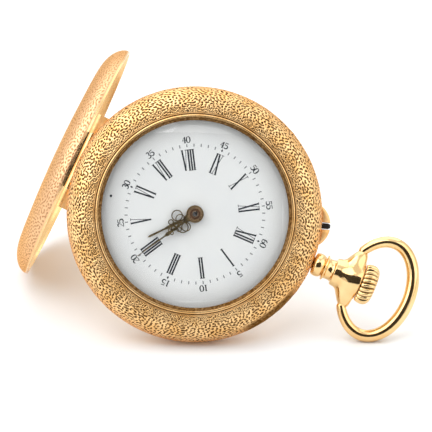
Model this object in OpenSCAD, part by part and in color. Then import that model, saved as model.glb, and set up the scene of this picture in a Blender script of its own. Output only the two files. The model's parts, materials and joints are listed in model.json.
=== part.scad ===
// Lady's open-face pendant watch with its hinged back opened to about ninety degrees.
// It stands on the rim of its case, on its bow and on the edge of the opened back, and leans back on them.
// The watch frame has x towards 3 o'clock, y towards the pendant and z out of the dial, with z = 0 near the
// middle of the case band. Lengths are in millimetres and angles in degrees.

/* [Case] */
// Outer radius of the case band, the bezel and the back cover
case_r = 16.0; // [15.8:0.05:16.3]
// Depth of the band's wall behind the middle plane
band_back = 1.1; // [1.0:0.05:1.2]
// Height of the band's wall in front of the middle plane
band_front = 0.35; // [0.3:0.05:0.45]
// Width of the ring of the case around the movement
ring_w = 2.7; // [2.65:0.05:2.75]
// Height of the bezel's domed rim above the dial
rim_rise = 0.93; // [0.88:0.01:1.05]
// Wall of the bezel's rim
rim_wall = 0.45; // [0.35:0.05:0.5]
// Width of the bezel from the edge of the case to the glass
bezel_w = 4.35; // [4.25:0.05:4.5]
// Width of the polished bead
bead_w = 1.0; // [0.9:0.05:1.1]
// Height of the guard beside the set pin, above the band
guard_h = 1.12; // [0.9:0.02:1.3]

/* [Back covers] */
// Opening angle of the back cover as the watch stands
open_angle = 89; // [85:1:92]
// Wall of the back cover
cover_wall = 0.4; // [0.3:0.05:0.45]
// Depth of the back cover's rounded edge
cover_edge_h = 2.65; // [2.65:0.05:2.95]
// Rise of the back cover's dome above its edge
cover_dome = 0.5; // [0.45:0.05:0.7]
// Wall of the inner dust cover
dust_wall = 0.3; // [0.25:0.05:0.35]
// Air between the balance cock and the inner dust cover
dust_air = 0.15; // [0.12:0.01:0.25]
// Rise of the inner dust cover's dome
dust_dome = 0.45; // [0.4:0.05:0.5]

/* [Hinges] */
// Distance of the back cover's hinge inside the edge of the case
hinge_inset = 0.25; // [0.2:0.01:0.3]
// Turn of the hinges away from the line of the pendant
hinge_turn = 2.8; // [0:0.2:4]
// Radius of the back cover's knuckles
knuckle_r = 0.5; // [0.45:0.05:0.55]
// Length of the middle knuckle
knuckle_mid = 7.5; // [6.5:0.1:8]
// Length of each end knuckle
knuckle_end = 2.5; // [2:0.1:2.8]
// Radius of the back cover's hinge pin
hinge_pin_r = 0.22; // [0.15:0.01:0.25]

/* [Pendant, crown and bow] */
// Radius of the ball at the foot of the pendant
ball_r = 1.52; // [1.45:0.01:1.55]
// Radius of the pendant's neck
neck_r = 1.45; // [1.35:0.01:1.5]
// Length of the pendant from the edge of the case to the bow's pivots
pendant_l = 5.4; // [5.3:0.05:5.5]
// Half the distance over the ends of the pendant's arms
arm_reach = 3.7; // [3.6:0.05:3.8]
// Radius of the pendant's arms
arm_r = 1.05; // [1.0:0.02:1.15]
// Length of the crown
crown_l = 1.9; // [1.7:0.05:2.0]
// Largest radius of the crown
crown_r = 2.55; // [2.4:0.05:2.65]
// Number of ribs around the crown
crown_ribs = 30; // [24:2:36]
// Half the width of the bow over its wire
bow_half_w = 6.7; // [6.5:0.05:7.0]
// Half the length of the bow over its wire
bow_half_l = 4.8; // [4.7:0.05:5.1]
// Distance of the bow's centre from its pivots
bow_out = 3.9; // [3.8:0.05:4.2]
// Thickness of the bow's wire at its far end
bow_wire = 1.5; // [1.3:0.05:1.6]
// Thickness of the bow's wire at its pivots
bow_wire_end = 1.1; // [0.9:0.05:1.2]
// Radius of the bow's pivots
bow_pivot_r = 0.4; // [0.3:0.02:0.45]

/* [Glass and dial] */
// Thickness of the glass
glass_t = 0.5; // [0.4:0.05:0.55]
// Rise of the glass from its edge to its middle
glass_rise = 1.2; // [1.1:0.05:1.4]
// Distance of the dial's edge inside the movement's
dial_inset = 1.0; // [0.9:0.05:1.2]
// Thickness of the dial
dial_t = 0.55; // [0.45:0.05:0.6]
// Clockwise turn of the dial from the pendant
dial_turn = 1.8; // [0:0.2:3]
// Length of the hour hand
hour_len = 6.65; // [6.2:0.05:7.0]
// Length of the minute hand
minute_len = 8.93; // [8.5:0.05:9.3]
// Thickness of the hands
hand_t = 0.12; // [0.1:0.01:0.14]

/* [Movement] */
// Thickness of the main plate under the motion work
plate_t = 1.2; // [1.15:0.05:1.25]
// Space between the main plate and the bridges
train_gap = 1.1; // [1.05:0.01:1.12]
// Thickness of the bridges
bridge_t = 0.7; // [0.65:0.01:0.72]
// Step from the roots of the barrel's teeth in to its drum
drum_step = 0.23125; // [0.2:0.01:0.4]
// Wall of the barrel's drum
drum_wall = 0.3; // [0.2:0.05:0.35]
// Outer radius of the balance wheel, as a share of the movement's
balance_share = 0.376; // [0.353:0.001:0.38]
// Radius of the winding stem
stem_r = 0.5; // [0.45:0.01:0.52]
// Radius of the set pin
set_pin_r = 0.36; // [0.3:0.01:0.4]
// Travel of the set pin
set_travel = 0.45; // [0.4:0.01:0.5]

/* [Hidden] */

$fn = 48;

// Clearances
run = 0.03;          // radial clearance of a pin or shaft that turns
fit = 0.01;          // radial clearance of a piece that is pressed or seated
gap = 0.05;          // gap between faces that pass each other
air = 0.1;           // gap between rigid covers

// Radii that follow the case
movement_r = case_r - ring_w;
hinge_r = case_r - hinge_inset;
bead_in = case_r - bezel_w;
dial_r = movement_r - dial_inset;
pivot_y = case_r + pendant_l;
bow_y = pivot_y + bow_out;
plan = movement_r / 13.3;          // the train is laid out to fill the plate

// Levels along z, from the dial to the back
plate_back = -0.45;
plate_face = plate_back + plate_t;
motion_gap = 0.75;
dial_back = plate_face + motion_gap;
dial_face = dial_back + dial_t;
bridge_face = plate_back - train_gap;
bridge_back = bridge_face - bridge_t;
wheel_t = 0.3;
keyless_face = bridge_back - gap;
keyless_back = keyless_face - wheel_t;
hour_hand_z = dial_face + 0.25;
minute_hand_z = hour_hand_z + hand_t + 0.18;
rim_top = dial_face + rim_rise;
rim_h = rim_top - band_front;
barrel_top = plate_back + 0.7;

// Case band
web = 0.35;                        // half thickness of the band's web
wall_in = case_r - 0.95;
collar_in = movement_r + 0.1;
collar_out = wall_in - 0.75;
collar_back = -1.0;
flange_r = movement_r + 0.45;
tongue_r = case_r - 0.5;           // radius of the tongues that the bezel and the cover snap over
tongue_h = 0.5;

// Back cover and dust cover
cover_z = -(band_back + 0.15);     // rim plane of the closed back cover
hinge_z = cover_z + 0.65;
cover_edge_w = 4.0;
dust_r = collar_out + 0.45;
dust_z = collar_back - gap;
dust_edge_w = 2.4;
dust_hinge_r = dust_r + 0.15;
dust_knuckle_r = 0.3;
dust_pin_r = 0.12;
dust_knuckle_mid = 2.2;
dust_knuckle_end = 1.1;

// Pendant
stem_z = -0.4;
foot_r = 0.72;
stem_bore = stem_r + 0.06;
ball_y = case_r + 1.0;
collar_y = ball_y + 0.75;
neck_y = collar_y + 0.45;
head_y = pivot_y - 2.4;
head_end = pivot_y + 1.1;
head_r = 1.75;

// Set pin and its guard, towards 11 o'clock of the pendant
pin_angle = 107;
pin_z = -0.37;
pin_outer = case_r + guard_h;
guard_curve = 3.0;

// Places of the movement's arbors
barrel_n = 80;
centre_pinion_n = 10;
barrel_m = 0.135 * plan;
centre_n = 80;
third_pinion_n = 10;
centre_m = 0.105 * plan;
third_n = 75;
fourth_pinion_n = 10;
third_m = 0.095 * plan;
fourth_n = 60;
escape_pinion_n = 6;
fourth_m = 0.11 * plan;
escape_n = 15;
escape_r = 2.7 * plan;
ratchet_n = 38;
crown_wheel_n = 26;
keyless_m = 0.2 * plan;
winding_n = 14;
cannon_n = 12;
minute_n = 36;
minute_m = 0.11 * plan;
minute_pinion_n = 10;
hour_n = 40;
setting_n = 24;

barrel_a = 145;
third_a = 25;
fourth_a = -75;
escape_a = -115;
balance_a = 225;

barrel_at = polar(barrel_m * (barrel_n + centre_pinion_n) / 2, barrel_a);
third_at = polar(centre_m * (centre_n + third_pinion_n) / 2, third_a);
fourth_at = third_at + polar(third_m * (third_n + fourth_pinion_n) / 2, fourth_a);
escape_at = fourth_at + polar(fourth_m * (fourth_n + escape_pinion_n) / 2, escape_a);
balance_at = escape_at + polar(escape_r, balance_a);

keyless_d = keyless_m * (ratchet_n + crown_wheel_n) / 2;
crown_wheel_at = [0, barrel_at.y + sqrt(pow(keyless_d, 2) - pow(barrel_at.x, 2))];
crown_wheel_r = keyless_m * crown_wheel_n / 2;
ratchet_r = keyless_m * ratchet_n / 2;
contrate_in = crown_wheel_r - 0.4;
pinion_lead = 0.1589;              // reach of the crown wheel's teeth over the winding pinion
teeth_end = 1.25;                   // depth of a tooth's root, in modules
drum_r = barrel_m * (barrel_n / 2 - teeth_end) - drum_step;
winding_r = keyless_m * winding_n / 2;
winding_tip = winding_r + 0.15;
contrate_h = stem_z - winding_tip - 0.02 - keyless_face + gap;

// Winding stem, along y: the winding pinion meets the crown wheel's teeth, and the clutch lies inside it
stem_pivot_r = 0.25;
stem_square = 0.8;
clutch_l = 1.4;
clutch_r = 1.15;
groove_w = 0.5;
groove_r = 0.75;
dog_h = 0.25;
winding_y = crown_wheel_at.y + contrate_in - pinion_lead;
winding_l = 1.0;
clutch_y = winding_y - dog_h - clutch_l;
groove_y = clutch_y + 0.4;
square_y = clutch_y - 0.8;
stem_boss_end = square_y - 0.35;
stem_inner = stem_boss_end - 0.4;
crown_y = head_end + gap;

// Setting wheel and motion work
setting_at = [0, clutch_y - minute_m * setting_n / 2 - 1.13];
setting_d = minute_m * (setting_n + minute_n) / 2;
motion_d = minute_m * (cannon_n + minute_n) / 2;
hour_m = 2 * motion_d / (hour_n + minute_pinion_n);
minute_a = 90 - acos((pow(setting_at.y, 2) + pow(motion_d, 2) - pow(setting_d, 2))
    / (2 * setting_at.y * motion_d));
minute_at = polar(motion_d, minute_a);

// Yoke that the set pin turns
yoke_at = [-6.6, 9.6] * plan;
yoke_t = 0.25;
yoke_z = plate_face + gap;
lug_at = polar(movement_r - 1.05, pin_angle);
lug_r = 0.3;
finger_at = [0, groove_y + groove_w / 2];
pin_inner = norm(lug_at) + lug_r + gap;

// Screws and feet of the bridges
feet_r = movement_r - 1.3;
barrel_feet = [polar(feet_r, 195), polar(feet_r - 0.1, 54), polar(feet_r - 0.05, 125)];
train_feet = [polar(feet_r, 25), polar(feet_r, -18), [-6.0, -5.2] * plan];
escape_foot = polar(feet_r - 0.4, -45);
balance_foot = [-6.3, -9.9] * plan;
case_screw_at = [polar(movement_r - 0.7, 38), polar(movement_r - 0.7, 215)];
foot_pad_r = 1.0;
screw_r = 0.35;
screw_head_r = 0.7;
screw_head_t = 0.25;
dial_feet_r = movement_r - 2.9;
dial_feet = [polar(dial_feet_r, 60), polar(dial_feet_r, -70), polar(dial_feet_r, 190)];
dial_foot_r = 0.35;

// Pivots and jewels
pivot_r = 0.1;
jewel_r = 0.5;
jewel_t = 0.35;
arbor_r = 0.2;

// Balance
rim_front = bridge_face - 0.15;
rim_t = 0.3;
cock_face = rim_front - rim_t - 0.4;
cock_t = 0.5;
cock_back = cock_face - cock_t;
dust_edge_h = dust_z - cock_back + dust_air + dust_wall;   // the dust cover clears the cock
cock_edge = dust_r - dust_edge_w - 0.15;
balance_r = balance_share * movement_r;
cylinder_r = 0.3;
cylinder_wall = 0.07;
cock_a = atan2(balance_foot.y - balance_at.y, balance_foot.x - balance_at.x);
curb_a = 265;                      // direction of the regulator's two pins
curb_r = 2.2;

// Colours
gold = [0.86, 0.66, 0.33];
steel = [0.72, 0.73, 0.76];
gilt = [0.80, 0.66, 0.38];
blue = [0.16, 0.22, 0.48];
dark_brass = [0.42, 0.32, 0.16];
ruby = [0.75, 0.12, 0.22];

// Point at a radius and an angle
function polar(r, a) = [r * cos(a), r * sin(a)];

// Point of an upright ellipse's quarter, from its widest place (t = 0) to its top (t = 1)
function quarter(cx, cy, w, h, t) = [cx + w * cos(90 * t), cy + h * sin(90 * t)];

// Turn that brings a wheel into mesh with its neighbour, which lies back along the angle phi
function mesh_turn(phi, n_a, turn_a, n_b) = phi + 180 - n_a / n_b * (turn_a - phi) + 180 / n_b;

// Outline of a toothed wheel of module m, with n straight-sided teeth
function teeth(m, n, turn = 0, root = teeth_end, tip = 0.85) = [for (i = [0 : n - 1], k = [0 : 3])
    polar(m * (n / 2 + (k == 0 || k == 3 ? -root : tip)),
        turn + (i + [-0.29, -0.11, 0.11, 0.29][k]) * 360 / n)];

// Standing: downward direction in the watch frame, for a roll and a lean
function down(roll, lean) = [cos(roll) * cos(lean), sin(roll) * cos(lean), -sin(lean)];

// Furthest reach of each support along a direction g
function band_reach(g) = max([for (p = [[case_r - 0.2, -band_back], [case_r, -0.7], [case_r, band_front]])
    p[0] * norm([g.x, g.y]) + p[1] * g.z]);
function bow_reach(g) = bow_y * g.y + stem_z * g.z + bow_wire / 2
    + norm([(bow_half_w - bow_wire / 2) * g.x, (bow_half_l - bow_wire / 2) * g.y]);
function opened(p) = let (a = p.y + hinge_r, b = p.z - hinge_z)
    [p.x, a * cos(open_angle) + b * sin(open_angle) - hinge_r,
        b * cos(open_angle) - a * sin(open_angle) + hinge_z];
function clocked(p) = [p.x * cos(hinge_turn) + p.y * sin(hinge_turn),
    p.y * cos(hinge_turn) - p.x * sin(hinge_turn), p.z];
function cover_profile() = concat([for (t = [0 : 0.125 : 1])
    quarter(case_r - cover_edge_w, 0, cover_edge_w, cover_edge_h, t)], [[0, cover_edge_h + cover_dome]]);
function cover_reach(g) = let (c = clocked(opened([0, 0, cover_z])),
    m = clocked(opened([0, 0, cover_z - 1])) - c, d = g * m, s = sqrt(max(0, g * g - d * d)))
    c * g + max([for (p = cover_profile()) p[0] * s + p[1] * d]);
function bezel_reach(g) = max([for (t = [0 : 0.125 : 1])
    let (p = quarter(bead_in + bead_w, band_front, case_r - bead_in - bead_w, rim_h, t))
    p[0] * norm([g.x, g.y]) + p[1] * g.z]);
function reach(g) = max(band_reach(g), bow_reach(g), cover_reach(g), bezel_reach(g));

// Roll at which the band and the bow touch the ground together, found by halving an interval
function level_roll(lean, low = 10, high = 35, steps = 24) = let (mid = (low + high) / 2)
    steps == 0 ? mid
    : let (g = down(mid, lean)) bow_reach(g) > band_reach(g)
        ? level_roll(lean, low, mid, steps - 1) : level_roll(lean, mid, high, steps - 1);
// Lean at which the opened cover touches the ground with them
function level_lean(low = 5, high = 45, steps = 24) = let (mid = (low + high) / 2)
    steps == 0 ? mid
    : let (g = down(level_roll(mid), mid)) cover_reach(g) > band_reach(g)
        ? level_lean(low, mid, steps - 1) : level_lean(mid, high, steps - 1);

lean = level_lean();
roll = level_roll(lean);
across = [-sin(roll), cos(roll), 0];
depth = [-cos(roll) * sin(lean), -sin(roll) * sin(lean), -cos(lean)];
stand = [(reach(-across) - reach(across)) / 2, (reach(-depth) - reach(depth)) / 2,
    band_reach(down(roll, lean))];

// Places its children, drawn in the watch frame, as the watch stands
module standing() {
    translate(stand) rotate([90 - lean, 0, 0]) rotate([0, 0, -90 - roll]) children();
}

// Turns its children to the line of the hinges
module at_hinges() {
    rotate([0, 0, -hinge_turn]) children();
}

// Opens its children about the back cover's hinge
module open_cover() {
    translate([0, -hinge_r, hinge_z]) rotate([-open_angle, 0, 0]) translate([0, hinge_r, -hinge_z])
        children();
}

// Rod along x, centred at a point of the hinge plane
module rod_x(r, l, at) {
    translate([-l / 2, at.x, at.y]) rotate([0, 90, 0]) cylinder(r = r, h = l);
}

// Stands its children, drawn along z, along the winding stem
module along_stem() {
    translate([0, 0, stem_z]) rotate([-90, 0, 0]) children();
}

// Places its children, drawn along z, along the set pin
module along_set_pin() {
    translate([0, 0, pin_z]) rotate([0, 0, pin_angle]) rotate([0, 90, 0]) children();
}

// Rounded bar between two points, as a flat outline
module link(p, q, r) {
    side = 0.97 * r * [p.y - q.y, q.x - p.x] / norm(q - p);
    translate(p) circle(r);
    translate(q) circle(r);
    polygon([p + side, p - side, q - side, q + side]);
}

// Disc between two levels at a place
module disc(at, r, z1, z2) {
    translate([at.x, at.y, min(z1, z2)]) cylinder(r = r, h = abs(z2 - z1));
}

// Toothed wheel between two levels at a place
module toothed(at, outline, z1, z2) {
    translate([at.x, at.y, min(z1, z2)]) linear_extrude(abs(z2 - z1)) polygon(outline);
}

// Spoked wheel with its rim's inner radius and its hub's radius
module spoked(at, outline, rim_r, hub_r, spokes, spoke_w, turn, z1, z2) {
    difference() {
        toothed(at, outline, z1, z2);
        translate([0, 0, min(z1, z2) - gap]) linear_extrude(abs(z2 - z1) + 2 * gap) translate(at)
            difference() {
                circle(rim_r);
                circle(hub_r);
                for (i = [0 : spokes - 1]) rotate(turn + i * 360 / spokes)
                    translate([0, -spoke_w / 2]) square([rim_r + 1, spoke_w]);
            }
    }
}

// Arbor with a pivot at each end, between the plate's face and a bridge's face
module arbor(at, r, z1, z2, ends) {
    disc(at, r, z1, z2);
    disc(at, pivot_r, z1 + ends, z2 - ends);
}

// Slotted screw with its head's top at z, pointing to +z
module screw(at, z, length) {
    difference() {
        disc(at, screw_head_r, z, z + screw_head_t);
        translate([at.x - 1, at.y - 0.07, z - gap]) cube([2, 0.14, 0.12 + gap]);
    }
    disc(at, screw_r, z + screw_head_t, z + length);
}

module case_band() {
    color(gold) difference() {
        union() {
            rotate_extrude($fn = 120) polygon([[collar_in, plate_back + 0.9], [collar_in, collar_back],
                [collar_out, collar_back], [collar_out, -web], [wall_in, -web],
                [wall_in, -band_back - tongue_h], [tongue_r, -band_back - tongue_h],
                [tongue_r, -band_back], [case_r - 0.2, -band_back], [case_r, -0.7],
                [case_r, band_front], [tongue_r - 0.15, band_front],
                [tongue_r - 0.15, band_front + tongue_h], [wall_in, band_front + tongue_h],
                [wall_in, web], [collar_out, web], [collar_out, plate_back + 0.9]]);
            at_hinges() for (s = [-1, 1]) {
                translate([s * (knuckle_mid / 2 + gap), 0, 0]) mirror([s < 0 ? 1 : 0, 0, 0])
                    translate([0, -hinge_r, hinge_z - knuckle_r * 0.9])
                    cube([knuckle_end, hinge_r - case_r + 2.2, knuckle_r * 1.8]);
                translate([s * (knuckle_mid / 2 + gap + knuckle_end / 2), 0, 0])
                    rod_x(knuckle_r, knuckle_end, [-hinge_r, hinge_z]);
            }
        }
        at_hinges() {
            rod_x(knuckle_r + 0.25, knuckle_mid + 2 * gap, [-hinge_r, hinge_z]);
            rod_x(hinge_pin_r + run, knuckle_mid + 2 * knuckle_end + 1, [-hinge_r, hinge_z]);
            translate([-knuckle_mid / 2, -case_r, -band_back - tongue_h - gap])
                cube([knuckle_mid, case_r - collar_out - 0.1, tongue_h + gap]);
            rod_x(dust_knuckle_r + 0.06, 2 * dust_knuckle_end + dust_knuckle_mid + 4 * gap,
                [-dust_hinge_r, dust_z]);
        }
        along_stem() translate([0, 0, collar_in - 1]) cylinder(r = foot_r + fit, h = 5);
        along_set_pin() translate([0, 0, collar_in - 1]) cylinder(r = set_pin_r + run, h = 5);
    }
    color(gold) at_hinges() for (s = [-1, 1])
        translate([s * (dust_knuckle_mid / 2 + gap + dust_knuckle_end / 2), 0, 0]) difference() {
            rod_x(dust_knuckle_r, dust_knuckle_end, [-dust_hinge_r, dust_z]);
            rod_x(dust_pin_r + run, dust_knuckle_end + 1, [-dust_hinge_r, dust_z]);
        }
}

module front_bezel() {
    groove_r = bead_in + bead_w;
    seat_z = rim_top - 0.5;
    color(gold) rotate_extrude($fn = 120) polygon(concat(
        [for (t = [0 : 0.0625 : 1]) quarter(groove_r + 0.05, band_front + 0.02,
            case_r - groove_r - 0.05, rim_h, t)],
        [[groove_r - 0.03, rim_top - 0.12]],
        [for (t = [0 : 30 : 180]) [groove_r - 0.03 - bead_w / 2 + (bead_w / 2 - 0.03) * cos(t),
            rim_top - 0.05 + 0.3 * sin(t)]],
        [[bead_in, rim_top - 0.15], [bead_in + 0.33, rim_top - 0.2], [bead_in + 0.33, seat_z - gap],
            [bead_in + 0.1, seat_z - gap], [bead_in + 0.1, seat_z - 0.2],
            [groove_r - 0.1, seat_z - 0.2]],
        [for (t = [1 : -0.125 : 0]) quarter(groove_r, band_front + 0.02,
            case_r - rim_wall - 0.05 - groove_r, rim_h - rim_wall, t)]));
}

module crystal() {
    edge_r = bead_in + 0.32;
    base_z = rim_top - 0.5;
    dome_r = bead_in - 0.05;
    big_r = (pow(dome_r, 2) + pow(glass_rise, 2)) / (2 * glass_rise);
    color([0.85, 0.92, 0.95, 0.35]) rotate_extrude($fn = 120) polygon(concat(
        [[edge_r, base_z], [edge_r, base_z + 0.28]],
        [for (i = [10 : -1 : 0]) let (r = dome_r * i / 10)
            [r, rim_top - 0.15 + glass_rise - big_r + sqrt(pow(big_r, 2) - r * r)]],
        [for (i = [0 : 9]) let (r = (dome_r - 0.3) * i / 9)
            [r, rim_top - 0.15 + glass_rise - glass_t - big_r + sqrt(pow(big_r, 2) - r * r)]],
        [[dome_r - 0.25, base_z]]));
}

module pendant() {
    color(gold) difference() {
        union() {
            along_stem() rotate_extrude() polygon(concat(
                [[0, case_r - 0.85], [foot_r, case_r - 0.85], [foot_r, case_r + 0.08]],
                [for (t = [-65 : 13 : 65]) [ball_r * cos(t), ball_y + 0.92 * sin(t) / sin(65)]],
                [[foot_r, collar_y - 0.02], [neck_r + 0.2, collar_y + 0.06], [neck_r + 0.28, collar_y + 0.22],
                    [neck_r + 0.2, collar_y + 0.4], [neck_r, neck_y], [neck_r - 0.05, neck_y + 0.4],
                    [neck_r + 0.1, head_y], [head_r, head_y + 0.4], [head_r, head_end - 0.15],
                    [head_r - 0.15, head_end], [0, head_end]]));
            difference() {
                hull() {
                    along_stem() translate([0, 0, head_y + 0.1]) cylinder(r = neck_r, h = 0.2, $fn = 32);
                    for (s = [-1, 1]) translate([s * (arm_reach - 1), pivot_y, stem_z])
                        sphere(arm_r, $fn = 32);
                }
                for (s = [-1, 1]) translate([s * (arm_reach + 0.75), pivot_y - 3.1, stem_z - 3])
                    cylinder(r = 2.2, h = 6);
            }
            for (s = [-1, 1]) translate([s * (arm_reach - 1.6), pivot_y, stem_z])
                rotate([0, s * 90, 0]) rotate_extrude() polygon([[0, 0], [arm_r, 0], [arm_r, 1.1],
                    [arm_r - 0.1, 1.4], [arm_r - 0.35, 1.6], [0, 1.6]]);
        }
        along_stem() translate([0, 0, case_r - 2]) cylinder(r = stem_bore, h = head_end - case_r + 3);
        rod_x(bow_pivot_r + run, 2 * arm_reach + 1, [pivot_y, stem_z]);
    }
}

module set_pin_guard() {
    color(gold) difference() {
        intersection() {
            along_set_pin() translate([0, 0, case_r + guard_h - guard_curve])
                rotate([0, 90, 0]) cylinder(r = guard_curve, h = band_back + band_front - 0.15,
                    center = true);
            along_set_pin() cylinder(r1 = 0, r2 = 3.4, h = case_r + 2);
        }
        translate([0, 0, -3]) cylinder(r = case_r + fit, h = 6, $fn = 120);
        along_set_pin() cylinder(r = set_pin_r + run, h = case_r + 3);
    }
}

module set_pin() {
    color([0.1, 0.1, 0.11]) along_set_pin() {
        translate([0, 0, pin_inner]) cylinder(r = set_pin_r, h = pin_outer - pin_inner - 0.25);
        translate([0, 0, pin_outer - 0.25]) cylinder(r1 = set_pin_r, r2 = set_pin_r * 0.6, h = 0.25);
    }
}

// Closed cover as a domed dish whose rim plane is at z = 0 and whose dome faces -z
module dish(r, edge_w, edge_h, dome, wall) {
    rotate_extrude($fn = 120) polygon([for (p = concat(
        [for (t = [0 : 0.1 : 1]) quarter(r - edge_w, 0, edge_w, edge_h, t)],
        [for (i = [3 : -1 : 0]) let (x = (r - edge_w) * i / 4) [x, edge_h + dome * (1 - pow(i / 4, 2))]],
        [for (i = [0 : 3]) let (x = (r - edge_w) * i / 4)
            [x, edge_h + dome * (1 - pow(i / 4, 2)) - wall]],
        [for (t = [1 : -0.1 : 0]) quarter(r - edge_w, 0, edge_w - wall, edge_h - wall, t)]))
        [p[0], -p[1]]]);
}

module back_cover() {
    color(gold) at_hinges() open_cover() difference() {
        union() {
            translate([0, 0, cover_z]) dish(case_r, cover_edge_w, cover_edge_h, cover_dome, cover_wall);
            rod_x(knuckle_r, knuckle_mid, [-hinge_r, hinge_z]);
            translate([-knuckle_mid / 2, -hinge_r - 0.2, cover_z - 0.25])
                cube([knuckle_mid, 0.42, hinge_z - cover_z + 0.25]);
            translate([-knuckle_mid / 2, -hinge_r - 0.1, cover_z - 0.25]) cube([knuckle_mid, 0.75, 0.22]);
        }
        rod_x(hinge_pin_r + run, knuckle_mid + 1, [-hinge_r, hinge_z]);
        translate([0, 0, cover_z - cover_edge_h - 2]) difference() {
            translate([-case_r, -case_r - 2, 0]) cube([2 * case_r, 6, cover_edge_h + 1.98]);
            cylinder(r = case_r + fit, h = 8, $fn = 120);
        }
    }
}

module back_hinge_pin() {
    color(steel) at_hinges() rod_x(hinge_pin_r, knuckle_mid + 2 * knuckle_end, [-hinge_r, hinge_z]);
}

module dust_cover() {
    color(gold) at_hinges() difference() {
        union() {
            translate([0, 0, dust_z]) dish(dust_r, dust_edge_w, dust_edge_h, dust_dome, dust_wall);
            rod_x(dust_knuckle_r, dust_knuckle_mid, [-dust_hinge_r, dust_z]);
        }
        rod_x(dust_pin_r + run, dust_knuckle_mid + 1, [-dust_hinge_r, dust_z]);
        for (s = [-1, 1]) translate([s * (dust_knuckle_mid / 2 + gap + dust_knuckle_end / 2), 0, 0])
            rod_x(dust_knuckle_r + 0.06, dust_knuckle_end + 0.1, [-dust_hinge_r, dust_z]);
    }
}

module dust_hinge_pin() {
    color(steel) at_hinges()
        rod_x(dust_pin_r, dust_knuckle_mid + 2 * dust_knuckle_end, [-dust_hinge_r, dust_z]);
}

// Bow: an oval wire that thins towards its two pivots
bow_a = bow_half_w - bow_wire / 2;
bow_b = bow_half_l - bow_wire / 2;
bow_bead_r = bow_wire_end / 2 + 0.1;
bow_bead_x = arm_reach + gap + bow_bead_r;
bow_start = -acos(bow_bead_x / bow_a);
bow_drop = bow_y + bow_b * sin(bow_start) - pivot_y;
bow_rings = 36;
bow_sides = 12;
function bow_thick(t) = bow_wire_end + (bow_wire - bow_wire_end) * sin(t * 180);
function bow_point(t) = let (a = bow_start + t * (180 - 2 * bow_start))
    [bow_a * cos(a), bow_y + bow_b * sin(a) - bow_drop * pow(abs(2 * t - 1), 12), stem_z];
function bow_along(t) = let (d = bow_point(min(1, t + 0.004)) - bow_point(max(0, t - 0.004)))
    d / norm(d);
bow_mesh = [for (i = [0 : bow_rings], k = [0 : bow_sides - 1])
    let (t = i / bow_rings, d = bow_along(t), r = bow_thick(t) / 2, b = 360 * (k + 0.5) / bow_sides)
    bow_point(t) + r * cos(b) * [d.y, -d.x, 0] - r * sin(b) * [0, 0, 1]];
function bow_quad(i, k) = [i * bow_sides + k, (i + 1) * bow_sides + k,
    (i + 1) * bow_sides + (k + 1) % bow_sides, i * bow_sides + (k + 1) % bow_sides];
bow_faces = concat([[for (k = [0 : bow_sides - 1]) k]],
    [for (i = [0 : bow_rings - 1], k = [0 : bow_sides - 1], h = [0, 1])
        let (q = bow_quad(i, k)) [q[0], q[1 + h], q[2 + h]]],
    [[for (k = [bow_sides - 1 : -1 : 0]) bow_rings * bow_sides + k]]);

module bow() {
    color(gold) {
        polyhedron(bow_mesh, bow_faces, convexity = 4);
        for (s = [-1, 1]) translate([s * bow_bead_x, pivot_y, stem_z]) {
            sphere(bow_bead_r);
            rotate([0, -s * 90, 0]) cylinder(r = bow_pivot_r, h = bow_bead_x - arm_reach + 0.9);
        }
    }
}

module crown() {
    l = crown_l;
    color(gold) along_stem() translate([0, 0, crown_y]) difference() {
        rotate_extrude() polygon([[stem_r + 0.2 + fit, 0], [crown_r - 0.35, 0], [crown_r - 0.12, 0.15],
            [crown_r - 0.02, l * 0.3], [crown_r, l * 0.5], [crown_r - 0.1, l * 0.72],
            [crown_r - 0.35, l * 0.88], [crown_r - 0.6, l * 0.97], [crown_r - 1.1, l],
            [0, l + 0.08], [0, l - 0.4], [stem_r + 0.2 + fit, l - 0.4]]);
        for (i = [0 : crown_ribs - 1]) rotate([0, 0, i * 360 / crown_ribs])
            translate([crown_r + 0.02, 0, -0.2]) rotate([16, -2, 0])
            cylinder(r = crown_r * 2.1 / crown_ribs, h = l + 0.6, $fn = 16);
    }
}

module winding_stem() {
    color(steel) {
        along_stem() {
            translate([0, 0, stem_inner]) cylinder(r = stem_pivot_r, h = 1);
            translate([0, 0, winding_y]) cylinder(r = stem_r, h = crown_y - winding_y);
            translate([0, 0, crown_y]) cylinder(r = stem_r + 0.2, h = crown_l - 0.4 - gap);
            translate([-stem_square / 2, -stem_square / 2, square_y])
                cube([stem_square, stem_square, winding_y - square_y]);
        }
    }
}

// Dogs on a wheel's end face, which drive the piece beside them
module dogs(r_in, r_out, h, turn) {
    for (i = [0 : 5]) rotate([0, 0, turn + i * 60]) linear_extrude(h)
        polygon([polar(r_in, -13), polar(r_out, -13), polar(r_out, 13), polar(r_in, 13)]);
}

module winding_pinion() {
    color(steel) along_stem() {
        difference() {
            translate([0, 0, winding_y]) linear_extrude(winding_l)
                polygon(teeth(keyless_m, winding_n, 90, 1.0, 0.75));
            translate([0, 0, winding_y - 1]) cylinder(r = stem_r + run, h = winding_l + 2);
        }
        translate([0, 0, winding_y - dog_h + gap]) dogs(0.78, 1.12, dog_h, 30);
    }
}

module clutch_wheel() {
    color(steel) along_stem() difference() {
        union() {
            translate([0, 0, clutch_y]) cylinder(r = clutch_r, h = clutch_l);
            translate([0, 0, clutch_y + clutch_l - gap]) dogs(0.78, 1.12, dog_h, 0);
            translate([0, 0, clutch_y - 0.2]) dogs(0.72, 1.0, 0.2 + gap, 0);
        }
        translate([0, 0, groove_y]) difference() {
            cylinder(r = clutch_r + 1, h = groove_w);
            cylinder(r = groove_r, h = groove_w);
        }
        translate([-stem_square / 2 - run, -stem_square / 2 - run, clutch_y - 1])
            cube([stem_square + 2 * run, stem_square + 2 * run, clutch_l + 2]);
    }
}

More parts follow.
